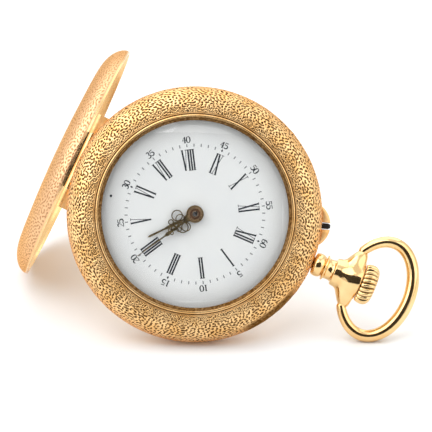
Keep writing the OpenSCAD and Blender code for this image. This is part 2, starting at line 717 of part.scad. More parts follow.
module yoke() {
    elbow = lug_at + [0.35, -1.0];
    color(steel) {
        difference() {
            translate([0, 0, yoke_z]) linear_extrude(yoke_t) {
                translate(yoke_at) circle(0.75);
                link(yoke_at, elbow, 0.35);
                link(elbow, lug_at, lug_r + gap);
                link(elbow, finger_at - [0.25, 0], 0.24);
            }
            disc(yoke_at, 0.35 + run, yoke_z - 1, yoke_z + 1);
        }
        disc(lug_at, lug_r, pin_z - set_pin_r - 0.05, yoke_z + gap);
        translate([finger_at.x - 0.3, finger_at.y - 0.2, stem_z + groove_r + 0.05])
            cube([0.5, 0.4, yoke_z + gap - stem_z - groove_r - 0.05]);
    }
}

module yoke_spring() {
    post = [-8.3, 6.4] * plan;
    bend = yoke_at + [2.25, -1.25];
    color(steel) translate([0, 0, yoke_z]) linear_extrude(yoke_t - gap) {
        link(bend, bend + [2.15, 0.1], 0.07);
        link(post, bend, 0.07);
        translate(post) circle(0.55);
    }
}

module setting_wheel() {
    turn = mesh_turn(atan2(setting_at.y - minute_at.y, setting_at.x - minute_at.x), minute_n,
        minute_turn, setting_n);
    color(steel) difference() {
        toothed(setting_at, teeth(minute_m, setting_n, turn), plate_face - 0.35, plate_face + 0.3);
        disc(setting_at, 0.4 + run, plate_face - 1, plate_face + 1);
    }
}

minute_turn = minute_a + 180;

module minute_wheel() {
    pinion_turn = mesh_turn(minute_a, hour_n, 90, minute_pinion_n);
    color(gilt) difference() {
        union() {
            toothed(minute_at, teeth(minute_m, minute_n, minute_turn), plate_face + gap,
                plate_face + 0.22);
            toothed(minute_at, teeth(hour_m, minute_pinion_n, pinion_turn, 1.1, 0.8),
                plate_face + 0.22, plate_face + 0.62);
        }
        disc(minute_at, 0.22 + run, plate_face - 1, plate_face + 1);
    }
}

cannon_turn = mesh_turn(minute_a + 180, minute_n, minute_turn, cannon_n);

module cannon_pinion() {
    color(steel) difference() {
        union() {
            toothed([0, 0], teeth(minute_m, cannon_n, cannon_turn, 1.1, 0.8), plate_face + gap,
                plate_face + 0.3);
            disc([0, 0], 0.5, plate_face + 0.3, minute_hand_z - 0.1);
            disc([0, 0], 0.29, minute_hand_z - 0.1, minute_hand_z + hand_t + 0.2);
        }
        disc([0, 0], 0.2 + run, plate_face - 1, minute_hand_z - 0.3);
    }
}

module hour_wheel() {
    color(gilt) difference() {
        union() {
            toothed([0, 0], teeth(hour_m, hour_n, 90), plate_face + 0.38, plate_face + 0.55);
            disc([0, 0], 0.8, plate_face + 0.38, hour_hand_z + hand_t);
        }
        disc([0, 0], 0.5 + run, plate_face, hour_hand_z + 1);
    }
}

// Ring outline, as a scroll of a hand
module scroll(at, r, wire) {
    translate(at) difference() {
        circle(r);
        circle(r - wire);
    }
}

module hour_hand() {
    wire = 0.13;
    color(dark_brass) rotate([0, 0, -dial_turn - 130]) translate([0, 0, hour_hand_z])
        linear_extrude(hand_t) difference() {
            union() {
                circle(1.02);
                for (s = [-1, 1]) {
                    scroll([s * 0.82, 2.1], 0.72, wire);
                    scroll([s * 0.42, 3.15], 0.36, wire);
                    polygon([[0, 0.9], [s * 0.45, 0.9], [s * 0.28, 1.5], [0, 1.6]]);
                }
                polygon([[-0.11, 1.4], [0.11, 1.4], [0.16, 3.0], [0.2, 3.7], [0.11, 4.3],
                    [0.13, hour_len - 0.35], [0, hour_len], [-0.13, hour_len - 0.35], [-0.11, 4.3],
                    [-0.2, 3.7], [-0.16, 3.0]]);
            }
            circle(0.8 + fit);
        }
}

module minute_hand() {
    wire = 0.12;
    color(dark_brass) rotate([0, 0, -dial_turn - 120]) translate([0, 0, minute_hand_z])
        linear_extrude(hand_t) difference() {
            union() {
                circle(1.02);
                for (s = [-1, 1]) {
                    scroll([s * 0.62, 1.85], 0.6, wire);
                    scroll([s * 0.36, 2.75], 0.34, wire);
                    scroll([s * 0.22, 3.75], 0.24, wire);
                    polygon([[0, 0.9], [s * 0.4, 0.9], [s * 0.2, 1.5], [0, 1.6]]);
                }
                polygon([[-0.1, 1.4], [0.1, 1.4], [0.12, 3.0], [0.2, 3.9], [0.26, 4.25], [0.1, 4.7],
                    [0.08, 6.5], [0.04, minute_len], [-0.04, minute_len], [-0.08, 6.5], [-0.1, 4.7],
                    [-0.26, 4.25], [-0.2, 3.9], [-0.12, 3.0]]);
            }
            circle(0.29 + fit);
        }
}

module dial() {
    color([0.94, 0.94, 0.93]) difference() {
        union() {
            rotate_extrude($fn = 120) polygon([[0, dial_back], [dial_r, dial_back],
                [dial_r, dial_face - 0.15], [dial_r - 0.15, dial_face], [0, dial_face]]);
            for (p = dial_feet) disc(p, dial_foot_r, dial_back - motion_gap - 0.7, dial_back + 0.1);
        }
        disc([0, 0], 1.1, dial_back - 1, dial_face + 1);
    }
}

module dial_screws() {
    color(steel) for (p = dial_feet) translate([0, 0, plate_back + 0.55])
        rotate([0, 0, atan2(p.y, p.x)]) rotate([0, 90, 0])
        translate([0, 0, norm(p) + dial_foot_r + fit]) cylinder(r = 0.22, h = 1.9);
}

module mainplate() {
    z = plate_back;
    color(gilt) difference() {
        union() {
            rotate_extrude($fn = 120) polygon([[0, z], [movement_r, z], [movement_r, z + 0.9 + gap],
                [flange_r, z + 0.9 + gap], [flange_r, plate_face], [movement_r - 0.6, plate_face],
                [movement_r - 0.6, dial_back], [movement_r - 1.9, dial_back], [movement_r - 1.9, plate_face],
                [0, plate_face]]);
            translate([-0.35, stem_inner - gap, z - 0.42])
                cube([1.15, stem_boss_end - stem_inner + gap, 0.5]);
            for (p = case_screw_at) disc(p, 0.6, z + 0.1, collar_back);
        }
        disc(barrel_at, drum_r + 0.15, z - 1, barrel_top + gap);
        disc(barrel_at, 0.45, z, plate_face + 1);
        translate([-winding_tip - 0.15, stem_boss_end, z - 1])
            cube([2 * winding_tip + 0.3, winding_y + winding_l + 0.1 - stem_boss_end, plate_t + 2]);
        along_stem() translate([0, 0, stem_inner - 0.2]) cylinder(r = stem_pivot_r + run, h = 1);
        along_stem() translate([0, 0, winding_y + winding_l]) cylinder(r = stem_r + 0.08, h = 5);
        disc([0, 0], 0.3, z - 1, plate_face + 1);
        disc(setting_at, minute_m * setting_n / 2 + 0.25, plate_face - 0.4, plate_face + 1);
        along_set_pin() translate([0, 0, norm(lug_at) + 0.15]) cylinder(r = set_pin_r + 0.1, h = 3);
        translate([0, 0, z - 1]) linear_extrude(plate_t + 2)
            link(lug_at, lug_at + [0.45, -0.8], lug_r + 0.12);
        translate([0, 0, plate_face]) linear_extrude(motion_gap + gap)
            polygon(plan * [[-1.5, 10.3], [-9.4, 7.4], [-10.5, 9], [-10.5, 14], [-1.5, 14]]);
        for (p = dial_feet) {
            disc(p, dial_foot_r + fit, z - 1, plate_face + 1);
            translate([0, 0, z + 0.55]) rotate([0, 0, atan2(p.y, p.x)]) rotate([0, 90, 0])
                translate([0, 0, norm(p)]) cylinder(r = 0.22 + fit, h = 5);
        }
        for (p = [third_at, fourth_at, escape_at]) disc(p, jewel_r + fit, z - 1, z + jewel_t);
        disc(balance_at, jewel_r + fit, z - 1, z + jewel_t);
        for (p = concat(barrel_feet, train_feet, [escape_foot, balance_foot]))
            disc(p, screw_r + fit, z - 1, z + 0.7);
        for (p = case_screw_at) disc(p, screw_r + fit, collar_back - 1, z + 0.6);
    }
    color(gilt) {
        disc(setting_at, 0.4, plate_face - 0.4, plate_face + 0.35);
        disc(minute_at, 0.22, plate_face, plate_face + 0.65);
        disc(yoke_at, 0.35, plate_face, yoke_z + yoke_t + gap);
    }
}

// Part of the movement's disc that lies on one side of a slanted line
module bridge_half(offset, side) {
    rotate(125) translate([side > 0 ? offset : offset - 40, -20]) square(40);
}

// Holes for the bridge's screws with sunk heads
module screw_holes(places, top) {
    for (p = places) {
        disc(p, screw_r + fit, top - 1, 0);
        disc(p, screw_head_r + 0.05, top - 1, top + screw_head_t);
    }
}

module barrel_bridge() {
    color(gilt) difference() {
        union() {
            translate([0, 0, bridge_back]) linear_extrude(bridge_t) intersection() {
                circle(movement_r - 0.2, $fn = 120);
                bridge_half(1.7, 1);
            }
            for (p = barrel_feet) disc(p, foot_pad_r, bridge_back + 0.2, plate_back);
            disc(barrel_at, 0.75, bridge_back, keyless_back + 0.02 + wheel_t);
            disc(crown_wheel_at, 0.9, bridge_back, keyless_back);
        }
        disc(barrel_at, 0.5 + run, -5, 0);
        translate([0, 0, bridge_back - 1]) linear_extrude(1.45) translate(crown_wheel_at) difference() {
            circle(crown_wheel_r + 0.35);
            circle(contrate_in - 0.15);
        }
        translate([-winding_tip - 0.1, winding_y - 0.3, -1.6 - gap - 0.5])
            cube([2 * winding_tip + 0.2, winding_l + 0.5, 1]);
        disc(crown_wheel_at, screw_r + fit, -5, 0);
        screw_holes(barrel_feet, bridge_back);
        disc(click_at, screw_r + fit, -5, 0);
        for (p = case_screw_at) disc(p, 1.1, -5, 0);
    }
}

module train_bridge() {
    color(gilt) difference() {
        union() {
            translate([0, 0, bridge_back]) linear_extrude(bridge_t) difference() {
                intersection() {
                    circle(movement_r - 0.2, $fn = 120);
                    bridge_half(1.5, -1);
                }
                translate(balance_at) circle(balance_r + 0.45);
                polygon(plan * [[2.5, -4.0], [6.5, -4.1], [9, -5.4], [15, -5.4], [15, -15], [0, -15]]);
                polygon(plan * [[-3, -7.4], [-15, -7.4], [-15, -15], [0, -15]]);
            }
            for (p = train_feet) disc(p, foot_pad_r, bridge_back + 0.2, plate_back);
        }
        for (p = [third_at, fourth_at]) disc(p, jewel_r + fit, bridge_face - jewel_t, 0);
        for (p = [third_at, fourth_at]) disc(p, pivot_r + 0.1, -5, 0);
        disc([0, 0], 0.3, -5, 0);
        screw_holes(train_feet, bridge_back);
        for (p = case_screw_at) disc(p, 1.1, -5, 0);
    }
}

module escape_cock() {
    top = bridge_face - 0.05;
    color(gilt) difference() {
        union() {
            translate([0, 0, top]) linear_extrude(0.3) link(escape_foot, escape_at, 0.9);
            disc(escape_foot, foot_pad_r, bridge_back + 0.25, plate_back);
        }
        disc(escape_at, jewel_r * 0.7 + fit, -5, 0);
        screw_holes([escape_foot], bridge_back + 0.25);
    }
}

module balance_cock() {
    color(gilt) difference() {
        union() {
            translate([0, 0, cock_back]) linear_extrude(cock_t) {
                link(balance_foot, balance_at, 1.5);
                translate(balance_foot) circle(2.2);
            }
            disc(balance_foot, 1.9, cock_back + 0.1, plate_back);
        }
        translate([0, 0, cock_back - 1]) difference() {
            cylinder(r = movement_r + 4, h = 5);
            cylinder(r = cock_edge, h = 5, $fn = 120);
        }
        disc(balance_at, jewel_r + fit, -5, 0);
        screw_holes([balance_foot], cock_back);
        disc(stud_at, 0.22 + fit, -5, 0);
    }
}

module bridge_screws() {
    color(blue) {
        for (p = concat(barrel_feet, train_feet)) screw(p, bridge_back, 2.2);
        screw(escape_foot, bridge_back + 0.25, 1.95);
        screw(balance_foot, cock_back, 2.9);
    }
}

module case_screws() {
    color(steel) for (p = case_screw_at) {
        difference() {
            disc(p, 1.0, collar_back - gap, collar_back - gap - 0.25);
            translate([p.x - 1.5, p.y - 0.08, collar_back - 0.45]) cube([3, 0.16, 0.2]);
        }
        disc(p, screw_r, collar_back - gap, plate_back + 0.5);
    }
}

// Ring jewel of a pivot
module jewel(at, r, z1, z2) {
    difference() {
        disc(at, r, z1, z2);
        disc(at, pivot_r + run, z1 - 5, z2 + 5);
    }
}

module train_jewels() {
    color(ruby) {
        for (p = [third_at, fourth_at]) {
            jewel(p, jewel_r, bridge_face, bridge_face - jewel_t);
            jewel(p, jewel_r, plate_back, plate_back + jewel_t);
        }
        jewel(escape_at, jewel_r, plate_back, plate_back + jewel_t);
        jewel(escape_at, jewel_r * 0.7, bridge_face + 0.25, bridge_face - 0.05);
    }
}

module balance_jewels() {
    color(ruby) {
        jewel(balance_at, jewel_r, plate_back, plate_back + jewel_t);
        jewel(balance_at, jewel_r, cock_face, cock_back + 0.1);
    }
}

module endstone_cap() {
    color(steel) disc(balance_at, 0.8, cock_back - gap, cock_back - 0.2);
}

module barrel() {
    z1 = plate_back - 0.75;
    z2 = barrel_top;
    color(gilt) difference() {
        union() {
            toothed(barrel_at, teeth(barrel_m, barrel_n, barrel_a + 180), z1, z1 + 0.3);
            disc(barrel_at, drum_r, z1 + 0.3, z2);
        }
        disc(barrel_at, drum_r - drum_wall, z1 + 0.2, z2 + 1);
        disc(barrel_at, 0.5 + run, z1 - 1, z2 + 1);
    }
}

module barrel_lid() {
    z2 = barrel_top;
    color(gilt) difference() {
        disc(barrel_at, drum_r - drum_wall - fit, z2 - 0.15, z2);
        disc(barrel_at, 0.4 + run, z2 - 1, z2 + 1);
    }
}

// Points of a flat spiral
function spiral(r1, r2, turns, steps, side) = [for (i = [0 : steps])
    polar(r1 + (r2 - r1) * i / steps + side, 360 * turns * i / steps)];

module coil(at, r1, r2, turns, steps, wire, z1, z2) {
    inner = spiral(r1, r2, turns, steps, -wire / 2);
    outer = spiral(r1, r2, turns, steps, wire / 2);
    toothed(at, concat(inner, [for (i = [steps : -1 : 0]) outer[i]]), z1, z2);
}

module mainspring() {
    color(steel) coil(barrel_at, 1.3, drum_r - drum_wall - 0.12, 7, 168, 0.16, plate_back - 0.5,
        barrel_top - 0.25);
}

module barrel_arbor() {
    color(steel) {
        disc(barrel_at, 0.4, barrel_top - 0.2, plate_face - 0.06);
        disc(barrel_at, 1.1, plate_back - 0.5, barrel_top - 0.2);
        disc(barrel_at, 0.5, plate_back - 0.5, keyless_face + fit);
        disc(barrel_at, 0.4, plate_back, keyless_back);
    }
}

module ratchet_wheel() {
    color(steel) difference() {
        toothed(barrel_at, teeth(keyless_m, ratchet_n, ratchet_turn, 0.9, 0.7), keyless_face,
            keyless_back);
        disc(barrel_at, 0.4 + fit, -5, 0);
    }
}

module ratchet_screw() {
    color(steel) difference() {
        disc(barrel_at, 1.3, keyless_back - fit, keyless_back - 0.18);
        translate([barrel_at.x - 2, barrel_at.y - 0.1, keyless_back - 0.3]) cube([4, 0.2, 0.22]);
    }
}

keyless_a = atan2(crown_wheel_at.y - barrel_at.y, crown_wheel_at.x - barrel_at.x);
crown_wheel_turn = 90 + 180 / crown_wheel_n;
ratchet_turn = mesh_turn(keyless_a + 180, crown_wheel_n, crown_wheel_turn, ratchet_n);

module crown_wheel() {
    color(steel) difference() {
        union() {
            toothed(crown_wheel_at, teeth(keyless_m, crown_wheel_n, crown_wheel_turn, 0.9, 0.7),
                keyless_face, keyless_back);
            translate([crown_wheel_at.x, crown_wheel_at.y, keyless_face - gap]) linear_extrude(contrate_h)
                for (i = [0 : crown_wheel_n - 1]) rotate(crown_wheel_turn + i * 360 / crown_wheel_n)
                    polygon([[contrate_in, -0.11], [crown_wheel_r, -0.13], [crown_wheel_r, 0.13],
                        [contrate_in, 0.11]]);
        }
        disc(crown_wheel_at, 0.9 + run, -5, 0);
    }
}

module crown_wheel_screw() {
    color(steel) {
        difference() {
            disc(crown_wheel_at, 1.4, keyless_back - gap, keyless_back - 0.2);
            translate([crown_wheel_at.x - 2, crown_wheel_at.y - 0.1, keyless_back - 0.3])
                cube([4, 0.2, 0.18]);
        }
        disc(crown_wheel_at, screw_r, keyless_back - gap, bridge_face - 0.05);
    }
}

click_at = barrel_at + polar(ratchet_r + 1.5, 205);
click_tip = barrel_at + polar(ratchet_r + 0.17, 178);

module click() {
    color(steel) difference() {
        translate([0, 0, keyless_back]) linear_extrude(wheel_t) {
            translate(click_at) circle(0.75);
            link(click_at, click_tip + polar(0.35, 178), 0.3);
        }
        disc(click_at, screw_r + run, -5, 0);
    }
}

module click_screw() {
    color(blue) {
        disc(click_at, 0.65, keyless_back - gap, keyless_back - 0.2);
        disc(click_at, screw_r, keyless_back - gap, bridge_face - 0.05);
    }
}

module click_spring() {
    color(steel) translate([0, 0, keyless_back]) linear_extrude(wheel_t) translate(barrel_at) {
        for (i = [0 : 5]) link(polar(ratchet_r + 1.35, 100 + 12 * i),
            polar(ratchet_r + 1.35, 112 + 12 * i), 0.08);
        translate(polar(ratchet_r + 1.35, 100)) circle(0.4);
    }
}

module centre_wheel() {
    z = bridge_face + 0.1;
    color(gilt) spoked([0, 0], teeth(centre_m, centre_n, third_a), centre_m * centre_n / 2 - 0.6, 1.1, 5, 0.5, 10, z, z + 0.15);
    color(steel) {
        toothed([0, 0], teeth(barrel_m, centre_pinion_n,
            mesh_turn(barrel_a + 180, barrel_n, barrel_a + 180, centre_pinion_n), 1.1, 0.8),
            z + 0.15, plate_back - 0.05);
        disc([0, 0], 0.27, z, bridge_back + 0.1);
        disc([0, 0], 0.27, plate_back - 0.05, plate_face);
        disc([0, 0], 0.2, plate_face, minute_hand_z - 0.35);
    }
}

module third_wheel() {
    z = plate_back - 0.2;
    color(gilt) spoked(third_at, teeth(third_m, third_n, fourth_a), third_m * third_n / 2 - 0.5125, 0.9, 5, 0.4, 0, z, z + 0.14);
    color(steel) {
        toothed(third_at, teeth(centre_m, third_pinion_n,
            mesh_turn(third_a, centre_n, third_a, third_pinion_n), 1.1, 0.8), bridge_face + gap,
            z - 0.1);
        arbor(third_at, arbor_r, bridge_face + gap, plate_back - gap, 0);
        disc(third_at, pivot_r, bridge_face - 0.2, plate_back + 0.2);
    }
}

module fourth_wheel() {
    z = bridge_face + 0.35;
    color(gilt) spoked(fourth_at, teeth(fourth_m, fourth_n, escape_a), fourth_m * fourth_n / 2 - 0.5, 0.8, 5, 0.4, 0, z, z + 0.14);
    color(steel) {
        toothed(fourth_at, teeth(third_m, fourth_pinion_n,
            mesh_turn(fourth_a, third_n, fourth_a, fourth_pinion_n), 1.1, 0.8), z + 0.24,
            plate_back - gap);
        disc(fourth_at, arbor_r, bridge_face + gap, plate_back - gap);
        disc(fourth_at, pivot_r, bridge_face - 0.2, plate_back + 0.2);
    }
}

module escape_wheel() {
    z = plate_back - 0.27;
    pinion_z = bridge_face + 0.32;
    color(steel) {
        spoked(escape_at, [for (i = [0 : 59]) polar(escape_r - 0.42, i * 6)], escape_r - 0.75, 0.5, 3,
            0.25, 0, z, z + 0.12);
        for (i = [0 : escape_n - 1]) translate(escape_at)
            rotate([0, 0, balance_a + (i + 0.5) * 360 / escape_n]) {
                translate([escape_r - 0.55, -0.1, z]) cube([0.25, 0.2, 0.1]);
                translate([escape_r - 0.45, 0, z - 0.25]) cylinder(r = 0.09, h = 0.3);
                translate([0, 0, z - 0.2]) linear_extrude(0.16) polygon([[escape_r - 0.52, -0.1],
                    [escape_r - 0.05, 0.24], [escape_r + 0.06, 0.16], [escape_r - 0.3, -0.16]]);
            }
        toothed(escape_at, teeth(fourth_m, escape_pinion_n,
            mesh_turn(escape_a, fourth_n, escape_a, escape_pinion_n), 1.1, 0.8), pinion_z,
            z - 0.1);
        disc(escape_at, arbor_r * 0.8, bridge_face + 0.3, plate_back - gap);
        disc(escape_at, pivot_r, bridge_face + 0.05, plate_back + 0.2);
    }
}

module balance_wheel() {
    color(gilt) translate([balance_at.x, balance_at.y, rim_front - rim_t]) difference() {
        cylinder(r = balance_r, h = rim_t);
        translate([0, 0, -gap]) linear_extrude(rim_t + 2 * gap) difference() {
            circle(balance_r - 0.45);
            circle(0.75);
            for (i = [0 : 2]) rotate(90 + i * 120) translate([0, -0.25]) square([balance_r, 0.5]);
        }
        translate([0, 0, -gap]) cylinder(r = 0.3 + fit, h = 1);
    }
}

module balance_staff() {
    x = balance_at.x;
    y = balance_at.y;
    color(steel) {
        disc(balance_at, 0.3, rim_front, cock_face + gap);
        disc(balance_at, 0.42, rim_front + gap, rim_front);
        disc(balance_at, pivot_r, cock_face + gap, cock_back + 0.12);
        disc(balance_at, pivot_r, plate_back - gap, plate_back + 0.3);
        disc(balance_at, cylinder_r, plate_back - gap, plate_back - 0.12);
        difference() {
            disc(balance_at, cylinder_r, plate_back - 0.12, rim_front + gap);
            disc(balance_at, cylinder_r - cylinder_wall, plate_back - 0.12, plate_back - 0.75);
            translate([x, y, plate_back - 0.12 - 0.5]) rotate([0, 0, balance_a])
                translate([-1, -1, 0]) cube([1.08, 2, 0.5]);
        }
    }
}

module hairspring() {
    z = cock_face + 0.1;
    color(blue) coil(balance_at, 0.62, 2.3, 8, 176, 0.06, z, z + 0.15);
}

stud_at = balance_at + polar(2.55, 200);

module hairspring_stud() {
    z = cock_face + 0.1;
    color(steel) disc(stud_at, 0.22, cock_back + gap, z + 0.1);
}

module regulator() {
    top = cock_back - 0.06;
    color(steel) difference() {
        translate([0, 0, top - 0.15]) linear_extrude(0.15) {
            translate(balance_at) circle(1.25);
            link(balance_at, balance_at + polar(3.4, cock_a), 0.14);
            link(balance_at, balance_at + polar(curb_r, curb_a), 0.16);
        }
        disc(balance_at, 0.8 + run, -5, 0);
    }
    color(steel) for (d = [-0.09, 0.09])
        disc(balance_at + polar(curb_r + d, curb_a), 0.05, top, cock_face);
}

standing() case_band();
standing() front_bezel();
standing() crystal();
standing() pendant();
standing() set_pin_guard();
standing() set_pin();
standing() back_cover();
standing() back_hinge_pin();
standing() dust_cover();
standing() dust_hinge_pin();
standing() bow();
standing() crown();
standing() winding_stem();
standing() winding_pinion();
standing() clutch_wheel();
standing() yoke();
standing() yoke_spring();
standing() setting_wheel();
standing() minute_wheel();
standing() cannon_pinion();
standing() hour_wheel();
standing() hour_hand();
standing() minute_hand();
standing() dial();
standing() dial_screws();
standing() mainplate();
standing() barrel_bridge();
standing() train_bridge();
standing() escape_cock();
standing() balance_cock();
standing() bridge_screws();
standing() case_screws();
standing() train_jewels();
standing() balance_jewels();
standing() endstone_cap();
standing() barrel();
standing() barrel_lid();
standing() mainspring();
standing() barrel_arbor();
standing() ratchet_wheel();
standing() ratchet_screw();
standing() crown_wheel();
standing() crown_wheel_screw();
standing() click();
standing() click_screw();
standing() click_spring();
standing() centre_wheel();
standing() third_wheel();
standing() fourth_wheel();
standing() escape_wheel();
standing() balance_wheel();
standing() balance_staff();
standing() hairspring();
standing() hairspring_stud();
standing() regulator();
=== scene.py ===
import json
import math

import bpy
import numpy as np
from mathutils import Matrix, Vector


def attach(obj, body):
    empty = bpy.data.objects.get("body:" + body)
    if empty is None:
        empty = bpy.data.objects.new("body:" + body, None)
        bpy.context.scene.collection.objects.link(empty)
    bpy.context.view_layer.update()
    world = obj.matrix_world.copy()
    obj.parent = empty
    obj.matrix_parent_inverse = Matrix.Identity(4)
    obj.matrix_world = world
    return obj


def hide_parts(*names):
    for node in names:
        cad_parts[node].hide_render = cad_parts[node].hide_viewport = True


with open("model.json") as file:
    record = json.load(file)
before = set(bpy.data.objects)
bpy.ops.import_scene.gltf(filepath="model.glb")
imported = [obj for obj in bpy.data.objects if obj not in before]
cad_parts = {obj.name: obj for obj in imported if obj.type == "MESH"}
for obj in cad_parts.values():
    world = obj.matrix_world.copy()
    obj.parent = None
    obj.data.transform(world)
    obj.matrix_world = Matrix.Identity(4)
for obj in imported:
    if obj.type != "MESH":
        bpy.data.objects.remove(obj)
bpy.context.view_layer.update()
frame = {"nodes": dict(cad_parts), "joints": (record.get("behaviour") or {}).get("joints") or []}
nodes = frame["nodes"]

# The watch frame in the row: x to 3 o'clock, y to the pendant, z out of the dial, in millimetres
MM = 1000.0  # millimetres in a metre
joints = {j["name"]: j for j in frame["joints"]}
PIVOT_Y, STEM_Z = 21.4, -0.4
AXES = np.array([joints[name]["axis"] for name in ("bow_swing", "crown_turn", "minute_hand_turn")])
AXES[2] *= -1
CENTRE = np.array(joints["bow_swing"]["pos_m"]) * MM - PIVOT_Y * AXES[1] - STEM_Z * AXES[2]

# Sizes of the CAD model that the pieces here share, or clear by a few hundredths, in millimetres
CASE_R = 16.0
BAND_FRONT = 0.37
RIM_TOP = 2.98
BEZEL_IN = 12.7
COVER_Z = -1.25
HINGE_R, HINGE_Z, HINGE_TURN = 15.75, -0.6, math.radians(2.8)
OPEN_ANGLE = math.radians(89)
DIAL_FACE = 2.05

# Turn of the printed dial, which fits the photograph better than the CAD model's 1.8 degrees
DIAL_TURN = math.radians(1.0)


def to_row(points):
    """Points of the watch frame in millimetres, as points of the row frame in metres."""
    return (np.asarray(points, float) @ AXES + CENTRE) / MM


def clocked(points):
    """Turns points of the hinge's frame into the watch frame."""
    p = np.asarray(points, float)
    c, s = math.cos(HINGE_TURN), math.sin(HINGE_TURN)
    return np.stack([p[..., 0] * c + p[..., 1] * s, p[..., 1] * c - p[..., 0] * s, p[..., 2]], -1)


def opened(points):
    """Opens points of the closed back cover about its hinge, in the watch frame."""
    p = np.asarray(points, float)
    across, down = p[..., 1] + HINGE_R, p[..., 2] - HINGE_Z
    c, s = math.cos(OPEN_ANGLE), math.sin(OPEN_ANGLE)
    y, z = across * c + down * s - HINGE_R, down * c - across * s + HINGE_Z
    return clocked(np.stack([p[..., 0], y, z], -1))


def smoothstep(low, high, value):
    """A smooth step from 0 to 1 between two values."""
    t = np.clip((value - low) / (high - low), 0, 1)
    return t * t * (3 - 2 * t)


# Materials


class Nodes:
    """Builds one procedural material, whose coordinates are the row's in millimetres."""

    def __init__(self, name):
        self.material = bpy.data.materials.new(name)
        self.material.use_nodes = True
        self.tree = self.material.node_tree
        self.tree.nodes.clear()
        self.out = self.tree.nodes.new("ShaderNodeOutputMaterial")
        coord = self.tree.nodes.new("ShaderNodeTexCoord")
        mapping = self.tree.nodes.new("ShaderNodeMapping")
        mapping.inputs["Scale"].default_value = (MM, MM, MM)
        self.link(coord.outputs["Object"], mapping.inputs["Vector"])
        self.place = mapping.outputs["Vector"]

    def link(self, a, b):
        self.tree.links.new(a, b)

    def put(self, socket, value):
        if isinstance(value, bpy.types.NodeSocket):
            self.link(value, socket)
        elif isinstance(value, (tuple, list)) and len(value) == 3 and socket.type == "RGBA":
            socket.default_value = (*value, 1.0)
        else:
            socket.default_value = value

    def principled(self, **values):
        node = self.tree.nodes.new("ShaderNodeBsdfPrincipled")
        for key, value in values.items():
            self.put(node.inputs[key.replace("_", " ").title().replace("Ior", "IOR")], value)
        return node

    def math(self, operation, a, b):
        node = self.tree.nodes.new("ShaderNodeMath")
        node.operation = operation
        self.put(node.inputs[0], a)
        self.put(node.inputs[1], b)
        return node.outputs[0]

    def noise(self, scale, detail=2.0, stretch=None, rough=0.5):
        node = self.tree.nodes.new("ShaderNodeTexNoise")
        place = self.place
        if stretch:
            mapping = self.tree.nodes.new("ShaderNodeMapping")
            mapping.inputs["Scale"].default_value = stretch
            self.link(self.place, mapping.inputs["Vector"])
            place = mapping.outputs["Vector"]
        self.link(place, node.inputs["Vector"])
        node.inputs["Scale"].default_value = scale
        node.inputs["Detail"].default_value = detail
        node.inputs["Roughness"].default_value = rough
        return node.outputs["Fac"]

    def ramp(self, value, low, high, to_low=0.0, to_high=1.0):
        node = self.tree.nodes.new("ShaderNodeMapRange")
        node.interpolation_type = "SMOOTHSTEP"
        self.put(node.inputs["Value"], value)
        for key, v in (("From Min", low), ("From Max", high), ("To Min", to_low), ("To Max", to_high)):
            node.inputs[key].default_value = v
        return node.outputs["Result"]

    def mix(self, factor, a, b):
        node = self.tree.nodes.new("ShaderNodeMix")
        node.data_type = "RGBA"
        self.put(node.inputs["Factor"], factor)
        self.put(node.inputs[6], a)
        self.put(node.inputs[7], b)
        return node.outputs[2]

    def attribute(self, name):
        node = self.tree.nodes.new("ShaderNodeAttribute")
        node.attribute_name = name
        return node.outputs["Fac"]

    def from_axis(self):
        """Distance in millimetres from the watch's own axis."""
        offset = self.tree.nodes.new("ShaderNodeVectorMath")
        offset.operation = "SUBTRACT"
        self.link(self.place, offset.inputs[0])
        offset.inputs[1].default_value = CENTRE.tolist()
        across = self.tree.nodes.new("ShaderNodeVectorMath")
        across.operation = "CROSS_PRODUCT"
        self.link(offset.outputs["Vector"], across.inputs[0])
        across.inputs[1].default_value = AXES[2].tolist()
        length = self.tree.nodes.new("ShaderNodeVectorMath")
        length.operation = "LENGTH"
        self.link(across.outputs["Vector"], length.inputs[0])
        return length.outputs["Value"]

    def bump(self, height, distance, strength=1.0, normal=None):
        node = self.tree.nodes.new("ShaderNodeBump")
        node.inputs["Strength"].default_value = strength
        node.inputs["Distance"].default_value = distance / MM
        self.put(node.inputs["Height"], height)
        if normal:
            self.link(normal, node.inputs["Normal"])
        return node.outputs["Normal"]

    def done(self, shader):
        self.link(shader.outputs[0], self.out.inputs["Surface"])
        return self.material


GOLD = (0.92, 0.60, 0.28)
GOLD_YELLOW = (0.88, 0.63, 0.31)
GOLD_ROSE = (0.88, 0.50, 0.27)
GOLD_DEEP = (0.80, 0.46, 0.17)
# Paler gold of the back cover's bark: painted light
GOLD_LIT_PALE = (0.80, 0.50, 0.28)
# Dark brown of pits and grooves: grime, and painted shade of the hollows
GRIME_AND_SHADE = (0.085, 0.033, 0.006)


def gold_polished():
    n = Nodes("gold_polished")
    patches = n.ramp(n.noise(0.35, 3.0), 0.35, 0.7)
    colour = n.mix(patches, GOLD_YELLOW, (0.82, 0.52, 0.22))
    smudge = n.ramp(n.noise(1.3, 4.0), 0.45, 0.75)
    rough = n.math("ADD", n.math("MULTIPLY", smudge, 0.1), 0.08)
    scratch = n.noise(6.0, 3.0, stretch=(1.0, 9.0, 1.0))
    dents = n.noise(0.9, 2.0)
    normal = n.bump(scratch, 0.004, 0.35, n.bump(dents, 0.06, 0.3))
    return n.done(n.principled(base_color=colour, metallic=1.0, roughness=rough, normal=normal))


def gold_satin():
    n = Nodes("gold_satin")
    patches = n.ramp(n.noise(0.6, 3.0), 0.35, 0.7)
    colour = n.mix(patches, GOLD, GOLD_DEEP)
    rough = n.ramp(n.noise(3.0, 3.0), 0.3, 0.7, 0.46, 0.6)
    normal = n.bump(n.noise(9.0, 3.0), 0.008, 0.4)
    return n.done(n.principled(base_color=colour, metallic=1.0, roughness=rough, normal=normal))


